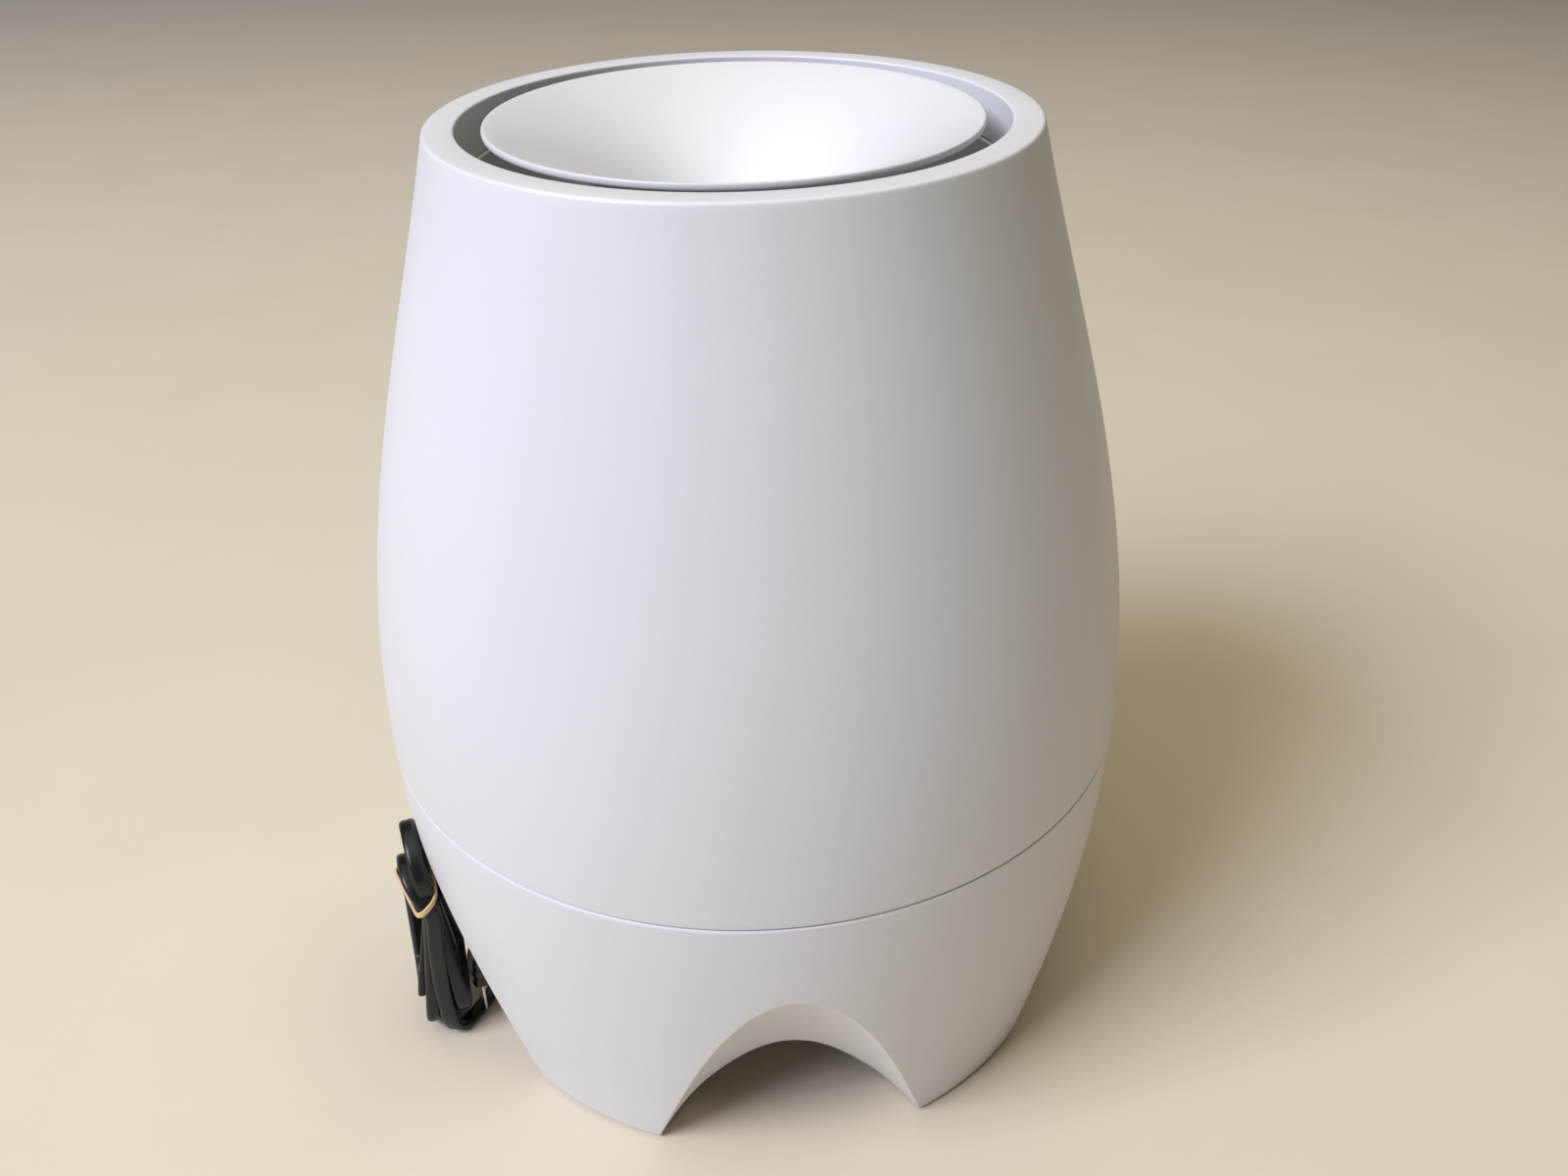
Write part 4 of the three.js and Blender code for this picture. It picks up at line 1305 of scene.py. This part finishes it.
    def section(self) -> Array:
        """Section of the flat cord: two round cores side by side in one sheath, with a shallow valley.

        The half thickness at a place w across is that of a rounded bar, less 13 percent at the middle.

        Returns:
            Closed outline of (across, thin).
        """
        a = np.linspace(0, 2 * np.pi, 28, endpoint=False)
        c, s = np.cos(a), np.sin(a)
        x = np.sign(c) * np.abs(c) ** 0.72 * self.width / 2
        y = np.sign(s) * np.abs(s) ** 0.8 * self.thickness / 2 * (1 - 0.13 * np.exp(-((x / 0.8) ** 2)))
        return np.stack([x, y], axis=1)

    def sweep(self, line: Array, wide: Array, section: Array) -> Array:
        """Carries a section along a line: place = line + x wide + y thin, where thin is tangent x wide.

        Args:
            line: Centre line.
            wide: Direction across the strap at each point of the line.
            section: Outline of the section as (across, thin).

        Returns:
            Grid of rows, one for each point of the line.
        """
        ahead = np.gradient(line, axis=0)
        ahead /= np.linalg.norm(ahead, axis=1, keepdims=True)
        wide = wide - ahead * np.sum(wide * ahead, axis=1, keepdims=True)
        wide /= np.linalg.norm(wide, axis=1, keepdims=True)
        thin = np.cross(ahead, wide)
        return line[:, None] + section[None, :, :1] * wide[:, None] + section[None, :, 1:] * thin[:, None]

    def cord(self) -> tuple[bpy.types.Object, Array, Array]:
        """The whole cord as one closed tube, its centre line and its surface points.

        Returns:
            The piece, its centre line and its surface points.
        """
        points, wide = self.route()
        rows = self.smooth_curve(np.concatenate([points, wide], axis=1), 1.6)
        line, wide = rows[:, :3], rows[:, 3:]
        line[:, 2] = np.maximum(line[:, 2], self.thickness / 2 + 0.05)
        tube = self.sweep(line, wide, self.section())
        ends = [np.broadcast_to(row.mean(axis=0), row.shape)[None] for row in (tube[0], tube[-1])]
        grid = np.concatenate([ends[0], tube, ends[1]])
        length = float(np.linalg.norm(np.diff(line, axis=0), axis=1).sum())
        girth = 2 * (self.width + self.thickness)
        piece = make_piece("flat_mains_cord", grid, close_rows=False, uv_size=(length, girth))
        return piece, line, tube

    def band(self, strap: Array) -> bpy.types.Object:
        """The rubber band: a flat loop that hugs the hank and slants down towards its outer side.

        It lies in a plane whose height falls by the band's slope for each unit of reach. Its outline is the
        hull of the strap's points near that plane, grown by a small gap and smoothed.

        Args:
            strap: The cord's surface points.

        Returns:
            The band.
        """
        frame = self.place(np.eye(3))
        reach, across, z = np.moveaxis(strap.reshape(-1, 3) @ frame.T, 1, 0)
        level = self.band_z + self.band_lift
        in_plane = np.abs(z - level + self.band_slope * (reach - self.band_middle)) < 2
        near = in_plane & (reach > 125) & (z > 40)
        a = np.linspace(0, 2 * np.pi, 240, endpoint=False)
        normals = np.stack([np.cos(a), np.sin(a)], axis=1)
        flat = np.stack([reach, across], axis=1)[near]
        hull = flat[np.argmax(flat @ normals.T, axis=0)] + self.band_gap * normals
        loop = np.concatenate([hull, hull[:1]])
        gone = np.concatenate([[0], np.cumsum(np.linalg.norm(np.diff(loop, axis=0), axis=1))])
        even = np.linspace(0, gone[-1], 160, endpoint=False)
        outline = np.stack([np.interp(even, gone, loop[:, i]) for i in (0, 1)], axis=1)
        outline = sum(np.roll(outline, i, axis=0) for i in range(-2, 3)) / 5
        height = level - self.band_slope * (outline[:, :1] - self.band_middle)
        line = self.place(np.concatenate([outline, height], axis=1))
        b = np.linspace(0, 2 * np.pi, 12, endpoint=False)
        section = np.stack([1.3 * np.cos(b), 0.5 * np.sin(b)], axis=1)
        section = np.sign(section) * np.abs(section) ** 0.8
        ahead = np.roll(line, -1, axis=0) - np.roll(line, 1, axis=0)
        ahead /= np.linalg.norm(ahead, axis=1, keepdims=True)
        wide = np.array([0, 0, 1.0]) - ahead * ahead[:, 2:]
        wide /= np.linalg.norm(wide, axis=1, keepdims=True)
        thin = np.cross(ahead, wide)
        grid = line[:, None] + section[None, :, :1] * wide[:, None] + section[None, :, 1:] * thin[:, None]
        return make_piece("rubber_band", grid)

    def plug_place(self, local: Array) -> Array:
        """Points of the plug, given as (along the blades' row, across, z), in the object's frame.

        Args:
            local: Rows of (along the blades' row, across, z).

        Returns:
            The same rows as (x, y, z).
        """
        a = math.radians(self.tail_azimuth)
        out, across = np.array([math.sin(a), -math.cos(a), 0]), np.array([math.cos(a), math.sin(a), 0])
        up = np.array([0, 0, 1.0])
        return (local[..., :1] + self.plug_reach) * out + local[..., 1:2] * across + local[..., 2:] * up

    def plug(self) -> bpy.types.Object:
        """The moulded plug: rows of rounded rectangles from the face up to the cord, with grip ribs.

        Returns:
            The plug.
        """
        rows = np.array([
            (0.0, 0.0, 18.3), (8.6, 4.8, 18.3), (9.7, 5.7, 18.7), (10.0, 6.0, 19.6), (10.0, 6.0, 22.6),
            (9.5, 5.6, 23.4), (9.5, 5.6, 24.4), (10.0, 6.0, 25.2), (9.9, 6.0, 27.0), (9.4, 5.5, 27.8),
            (9.3, 5.5, 28.8), (9.6, 5.8, 29.6), (9.0, 5.6, 32.0), (7.4, 4.8, 35.0), (5.4, 3.9, 38.0),
            (4.3, 3.0, 40.6), (3.9, 2.5, 41.7), (3.4, 2.0, 42.0), (0.0, 0.0, 42.0),
        ])
        a = np.linspace(0, 2 * np.pi, 56, endpoint=False)
        shape = np.stack([np.sign(f) * np.abs(f) ** 0.42 for f in (np.cos(a), np.sin(a))], axis=1)
        grid = np.stack([
            rows[:, :1] * shape[:, 0], rows[:, 1:2] * shape[:, 1], np.repeat(rows[:, 2:], len(a), axis=1),
        ], axis=2)
        return make_piece("moulded_plug", self.plug_place(grid), close_rows=False, sharp=50)

    def blade(self, name: str, offset: float) -> bpy.types.Object:
        """A flat blade that narrows to a rounded tip near the floor.

        Args:
            name: The piece's name.
            offset: Place along the plug's row of blades.

        Returns:
            The blade.
        """
        rows = np.array([
            (0.0, 0.0, 17.7), (0.7, 3.05, 17.7), (0.75, 3.15, 17.4), (0.75, 3.15, 4.2), (0.72, 3.0, 2.6),
            (0.6, 2.3, 1.2), (0.42, 1.4, 0.7), (0.0, 0.0, 0.6),
        ])
        a = np.linspace(0, 2 * np.pi, 32, endpoint=False)
        shape = np.stack([np.sign(f) * np.abs(f) ** 0.35 for f in (np.cos(a), np.sin(a))], axis=1)
        grid = np.stack([
            offset + rows[:, :1] * shape[:, 0], rows[:, 1:2] * shape[:, 1],
            np.repeat(rows[:, 2:], len(a), axis=1),
        ], axis=2)
        return make_piece(name, self.plug_place(grid), close_rows=False)

    def gland(self) -> bpy.types.Object:
        """The ribbed strain relief, turned about its own slanted axis.

        Returns:
            The strain relief.
        """
        s = np.linspace(15.4, 29.6, 60)
        ribs = 0.42 * np.cos((s - 15.4) / 14.2 * 2 * np.pi * 5)
        cone = 5.6 - 1.3 * (s - 15.4) / 14.2 + ribs
        profile = rounded([
            (0, -8, 0), (6, -8, 0.6), (6, 12.8, 0.2), (8.6, 12.8, 0.4), (8.6, 15.1, 0.7), (5.9, 15.2, 0.4),
            *[(r, z, 0.0) for r, z in zip(cone, s)], (4.0, 30.0, 0.4), (0, 30.0, 0),
        ], closed=False)
        grid = turn(profile, 64)
        tilt = math.radians(135)
        x, y, z = grid[..., 0], grid[..., 1], grid[..., 2]
        reach = x * math.cos(tilt) + z * math.sin(tilt) + 78
        height = -x * math.sin(tilt) + z * math.cos(tilt) + 39.8
        a = math.radians(self.lead_azimuth)
        out, across = np.array([math.sin(a), -math.cos(a), 0]), np.array([math.cos(a), math.sin(a), 0])
        placed = reach[..., None] * out + y[..., None] * across + height[..., None] * np.array([0, 0, 1.0])
        return make_piece("strain_relief", placed, close_rows=False)

    def build(self, wardrobe: Wardrobe) -> None:
        """Args:
            wardrobe: What dresses the finished pieces.
        """
        cord, line, strap = self.cord()
        wardrobe.dress(cord, "black_lead", Body.BASE, ["cord_lead", "cord_hank", "cord_tail"])
        band = wardrobe.dress(self.band(strap), "tan_rubber", Body.BASE, ["hank_band"])
        plug = wardrobe.dress(self.plug(), "black_plastic", Body.BASE, ["plug_body"])
        for i, offset in enumerate((-6.35, 6.35), start=1):
            blade = self.blade(f"blade_{i}", offset)
            wardrobe.dress(blade, "plated_blade", Body.BASE, [f"plug_blade_{i}"])
        gland = wardrobe.dress(self.gland(), "black_plastic", Body.BASE, ["cord_gland"])


# ------------------------------------------------------------------ what the shells hold


@dataclass(frozen=True)
class Arm:
    """A straight bar along a radius.

    Attributes:
        near: Reach of its inner end.
        far: Reach of its outer end.
        width: Width across.
        low: Height of its underside.
        high: Height of its top.
        azimuth: Its azimuth in degrees.
    """

    near: float
    far: float
    width: float
    low: float
    high: float
    azimuth: float

    def build(self) -> bpy.types.Object:
        """The bar, with its long edges rounded.

        Returns:
            The bar.
        """
        half, tall, edge = self.width / 2, self.high - self.low, 0.35
        section = rounded([(-half, 0, edge), (half, 0, edge), (half, tall, edge), (-half, tall, edge)])
        middle = section.mean(axis=0)
        rows = [(self.near, middle), (self.near, section), (self.far, section), (self.far, middle)]
        blank = np.zeros(len(section))
        grid = np.stack([
            np.stack([line[..., 0] + blank, blank - reach, line[..., 1] + self.low + blank], axis=-1)
            for reach, line in rows
        ])
        return make_piece("arm", spin(grid, self.azimuth), close_rows=False)


@dataclass(frozen=True)
class TurnedPiece:
    """A turned piece of the inner works, with bars joined on and holes cut through.

    Attributes:
        name: The new piece's name.
        node: The CAD node that it stands for.
        slot: Its finish.
        body: The body that carries it.
        corners: Its section as (radius, height, corner radius).
        rings: More closed sections that are joined on.
        arms: Bars that are joined on.
        holes: Upright holes as (x, y, radius, low, high).
        segments: Points round the axis.
    """

    name: str
    node: str
    slot: str
    body: Body
    corners: Profile
    rings: tuple[Profile, ...] = ()
    arms: tuple[Arm, ...] = ()
    holes: tuple[tuple[float, float, float, float, float], ...] = ()
    segments: int = 120

    @staticmethod
    def solid(corners: Profile, segments: int) -> bpy.types.Object:
        """One turned solid. A section that meets the axis is left open there, since its ends meet on it.

        Args:
            corners: Rows of (radius, height, corner radius).
            segments: Points round the axis.

        Returns:
            The solid.
        """
        open_line = corners[0][0] == 0
        grid = turn(rounded(corners, 4, closed=not open_line), segments)
        return make_piece("turned", grid, close_rows=not open_line)

    def build(self, wardrobe: Wardrobe) -> None:
        """Makes the piece.

        Args:
            wardrobe: What dresses the finished pieces.
        """
        piece = self.solid(self.corners, self.segments)
        for corners in self.rings:
            combine(piece, self.solid(corners, self.segments), "UNION")
        for arm in self.arms:
            combine(piece, arm.build(), "UNION")
        for x, y, radius, low, high in self.holes:
            tool = self.solid([(0, low, 0), (radius, low, 0), (radius, high, 0), (0, high, 0)], 32)
            tool.data.transform(Matrix.Translation(Vector((x, y, 0)) * MM))
            combine(piece, tool, "DIFFERENCE")
        piece.name = self.name
        wardrobe.dress(piece, self.slot, self.body, [self.node])


def box_ring(inner: float, outer: float, low: float, high: float, edge: float = 0.35) -> Profile:
    """Section of a ring with its four edges rounded."""
    return ((inner, low, edge), (outer, low, edge), (outer, high, edge), (inner, high, edge))


def holes_at(reach: float, radius: float, low: float, high: float) -> tuple[tuple[float, ...], ...]:
    """Three upright holes at azimuths 60, 180 and 300."""
    places = polar(reach, np.array([60.0, 180.0, 300.0]), 0.0)
    return tuple((float(x), float(y), radius, low, high) for x, y, _ in places)


def turned_pieces() -> tuple[TurnedPiece, ...]:
    """Every turned piece of the inner works.

    Returns:
        The pieces, from the floor up.
    """
    grille_arms = tuple(Arm(12.5, 49.5, 2.4, 35.05, 37.95, 60 * i + 105) for i in range(6))
    shroud_arms = tuple(Arm(19.5, 57.5, 3.0, 56, 64, 90 * i + 90) for i in range(4))
    spider_arms = tuple(Arm(26.5, 58.5, 3.0, 250.3, 256.1, 120 * i) for i in range(3))
    return (
        TurnedPiece("intake_guard", "intake_grille", "inner_plastic", Body.BASE,
                    box_ring(48, 60, 35, 38, 0.5),
                    (box_ring(35, 37.4, 35, 38), box_ring(23, 25.4, 35, 38),
                     ((0, 35, 0), (12.8, 35, 0.6), (14, 36, 0.5), (14, 38, 0.4), (0, 38, 0))),
                    grille_arms, holes_at(54.5, 2.1, 30, 45)),
        TurnedPiece("foam_filter", "dust_filter", "filter_foam", Body.BASE,
                    ((0, 41.6, 0), (55.4, 41.6, 1.2), (55.4, 48.5, 1.2), (0, 48.5, 0))),
        TurnedPiece("deck_plate", "base_deck", "inner_plastic", Body.BASE,
                    ((61, 121.7, 0.4), (137.6, 121.7, 0.5), (137.6, 138, 0.6), (134.8, 138, 0.6),
                     (134.8, 124.7, 1.2), (64, 124.7, 1.0), (64, 130, 0.5), (61, 130, 0.5)), segments=200),
        TurnedPiece("fan_duct", "fan_shroud", "inner_plastic", Body.BASE,
                    ((56.5, 49, 0.4), (66, 49, 0.5), (66, 52, 0.5), (59.5, 52, 0.6), (59.5, 134.9, 0.6),
                     (56.5, 134.9, 0.6)),
                    (((0, 56, 0), (23, 56, 1.0), (23, 64, 0.8), (20.5, 64, 0.4), (20.5, 59, 0.3),
                      (0, 59, 0)),),
                    shroud_arms),
        TurnedPiece("motor_can", "motor_housing", "steel", Body.BASE,
                    ((0, 59.3, 0), (18.5, 59.3, 0.8), (20, 60.8, 0.8), (20, 81.5, 1.2), (18, 84, 1.0),
                     (7, 84, 0.5), (7, 85.2, 0.3), (4, 85.2, 0.2), (4, 62.3, 0.2), (0, 62.3, 0)),
                    segments=72),
        TurnedPiece("air_duct", "inner_duct", "inner_plastic", Body.BARREL,
                    ((57.5, 138.3, 0.4), (60, 138.3, 0.4), (60, 141.9, 0.4), (72, 141.9, 0.5),
                     (72, 144.9, 0.5), (60, 144.9, 1.0), (60, 250, 0.4), (57.5, 250, 0.4)),
                    holes=holes_at(67, 2.1, 130, 150)),
        TurnedPiece("floor_plate", "barrel_floor", "inner_plastic", Body.BARREL,
                    box_ring(60.4, 137.7, 138.6, 141.6, 0.5), holes=holes_at(67, 2.1, 130, 150),
                    segments=200),
        TurnedPiece("tray_spider", "pad_spider", "inner_plastic", Body.BARREL,
                    box_ring(57.5, 60, 250.3, 256.1),
                    (box_ring(22, 28, 250.3, 256.1, 0.6),), spider_arms),
        TurnedPiece("pad_cup", "pad_tray", "inner_plastic", Body.DISH,
                    ((0, 256.4, 0), (33, 256.4, 1.4), (33, 269, 0.7), (31, 269, 0.7), (31, 258.9, 1.0),
                     (9.6, 258.9, 0.8), (9.6, 264, 0.6), (7.4, 264, 0.6), (7.4, 258.9, 0.4), (0, 258.9, 0)),
                    segments=96),
        TurnedPiece("felt_pad", "oil_pad", "felt", Body.DISH,
                    box_ring(10, 30.6, 259.2, 266.2, 1.5), segments=96),
        TurnedPiece("drip_tube", "drip_stem", "inner_plastic", Body.DISH, box_ring(4.4, 7.1, 259.2, 291, 0.3),
                    segments=48),
    )


@dataclass
class Impeller:
    """The seven-bladed fan wheel."""

    blades: int = 7
    root: float = 22.6
    tip: float = 54.3
    chord: float = 28.4
    middle: float = 99.0

    def blade(self, azimuth: float) -> bpy.types.Object:
        """One blade: a bowed section, thick ahead and thin behind, carried from hub to tip.

        At a place u from 0 to 1 along the chord, the bow is 2.7 (1 - (2u - 1)^2) and the half thickness is
        0.35 + 1.1 sqrt(u) (1 - u). The pitch falls from 42 to 35 degrees towards the tip.

        Args:
            azimuth: The azimuth in degrees.

        Returns:
            The blade.
        """
        u = np.linspace(0, 1, 24)
        bow, half = 2.7 * (1 - (2 * u - 1) ** 2), 0.35 + 1.1 * np.sqrt(u) * (1 - u)
        along = np.concatenate([u, u[::-1]]) * self.chord - self.chord / 2
        across = np.concatenate([bow + half, (bow - half)[::-1]]) - 1.3
        share = np.linspace(0, 1, 16)[:, None]
        reach = self.root + (self.tip - self.root) * share
        pitch = np.radians(42 - 7 * share)
        side = along * np.cos(pitch) - across * np.sin(pitch)
        z = self.middle + along * np.sin(pitch) + across * np.cos(pitch)
        angle = np.degrees(side / reach) + azimuth
        grid = polar(reach + 0 * side, angle, z)
        ends = [np.repeat(grid[i].mean(axis=0)[None, None], grid.shape[1], axis=1) for i in (0, -1)]
        return make_piece("blade", np.concatenate([ends[0], grid, ends[1]]), close_rows=False)

    def build(self, wardrobe: Wardrobe) -> None:
        """Makes the wheel.

        Args:
            wardrobe: What dresses the finished pieces.
        """
        wheel = TurnedPiece.solid(
            ((2.8, 90, 0.3), (7, 90, 0.4), (7, 107.5, 0.6), (21, 107.5, 0.8), (21, 86.5, 0.4),
             (24, 86.5, 0.4), (24, 106, 2.5), (21.5, 110, 2.0), (14, 112, 1.5), (2.8, 112, 0.4)), 96)
        for i in range(self.blades):
            combine(wheel, self.blade(360 * i / self.blades), "UNION")
        wheel.name = "fan_wheel"
        wardrobe.dress(wheel, "grey_plastic", Body.FAN, ["impeller"])


@dataclass
class SpeedDial:
    """The fluted knob in the base's rear pocket, and the scale ring round it.

    Both are made about Z and then tipped.
    """

    back: float = 128.3
    front: float = 139.4
    height: float = 95.0
    flutes: int = 8
    flute_radius: float = 1.6
    flute_reach: float = 18.2
    flute_start: float = 132.3
    socket_depth: float = 3.2

    def tip(self, piece: bpy.types.Object) -> bpy.types.Object:
        """Tips a piece made about Z so that its axis runs along +Y at the dial's height.

        Args:
            piece: The object, which is changed.

        Returns:
            The same object.
        """
        rows = ((1, 0, 0, 0), (0, 0, 1, 0), (0, -1, 0, self.height * MM), (0, 0, 0, 1))
        piece.data.transform(Matrix(rows))
        return piece

    def knob(self) -> bpy.types.Object:
        """The turned cap with its socket, eight rounded flutes down its side and a pointer groove.

        Returns:
            The knob.
        """
        end = self.front - self.socket_depth
        knob = TurnedPiece.solid(
            ((0, end, 0), (3.3, end, 0.2), (3.3, self.back + 3.4, 0.3),
             (9.5, self.back + 3.4, 0.3), (9.5, self.back, 0.3), (17.8, self.back, 0.5),
             (17.3, self.front - 1.2, 1.0), (15.9, self.front, 1.0), (0, self.front, 0)), 192)
        start, stop, radius = self.flute_start, self.front + 3, self.flute_radius
        for i in range(self.flutes):
            tool = TurnedPiece.solid(
                ((0, start, 0), (radius, start, 1.0), (radius, stop, 0.1), (0, stop, 0)), 48)
            place = polar(self.flute_reach, 360 * (i + 0.5) / self.flutes, 0.0)
            tool.data.transform(Matrix.Translation(Vector(place) * MM))
            combine(knob, tool, "DIFFERENCE")
        combine(knob, make_piece("groove", self.groove(), close_rows=False), "DIFFERENCE")
        knob.name = "speed_knob"
        return self.tip(knob)

    def groove(self) -> Array:
        """A slim cutter with round ends, from near the face's middle to its edge.

        Returns:
            Grid of rows.
        """
        a = np.linspace(0, 2 * np.pi, 40, endpoint=False)
        x = 0.7 * np.sign(np.cos(a)) * np.abs(np.cos(a)) ** 0.6
        y = -4.5 * np.sign(np.sin(a)) * np.abs(np.sin(a)) ** 0.4
        low, high = self.front - 0.8, self.front + 1
        levels = ((0.0, low), (0.85, low), (1.0, low + 0.15), (1.0, high), (0.0, high))
        rows = [np.stack([share * x, -10.5 + share * y, np.full_like(a, z)], axis=1) for share, z in levels]
        return np.stack(rows)[:, ::-1]

    def scale_ring(self) -> bpy.types.Object:
        """The flat ring with eleven raised ticks over three quarters of a turn.

        Returns:
            The ring.
        """
        a = np.linspace(0, 360, 720, endpoint=False)
        place = (a + 225) % 360
        tick = np.abs((place / 27) % 1 - 0.5) * 27 > 12.2
        tick &= place <= 271.5
        line = rounded(((18.6, 127.0, 0.15), (21.1, 127.0, 0.15), (21.1, 128.0, 0.2), (18.6, 128.0, 0.2)), 4)
        grid = turn(line, 720)
        upper = (line[:, 1] > 127.6)[:, None]
        grid[..., 2] += 0.2 * upper * tick[None, :]
        return self.tip(make_piece("dial_scale_ring", grid, sharp=30))

    def build(self, wardrobe: Wardrobe) -> None:
        """Makes the knob and the ring."""
        wardrobe.dress(self.knob(), "body_plastic", Body.DIAL, ["speed_dial"])
        wardrobe.dress(self.scale_ring(), "grey_plastic", Body.BASE, ["dial_scale"])


def main() -> None:
    """Builds the scene round the frame."""
    logging.basicConfig(level=logging.INFO, format="%(name)s: %(message)s")
    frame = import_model()
    studio = Studio()
    studio.add_camera()
    wardrobe = Wardrobe()
    wardrobe.dress_frame(frame)
    MainsCord().build(wardrobe)
    Base().build(wardrobe)
    Barrel().build(wardrobe)
    ScentDish().build(wardrobe)
    for piece in turned_pieces():
        piece.build(wardrobe)
    Impeller().build(wardrobe)
    SpeedDial().build(wardrobe)
    studio.add_floor()
    studio.add_lights()


if __name__ == "__main__":
    main()
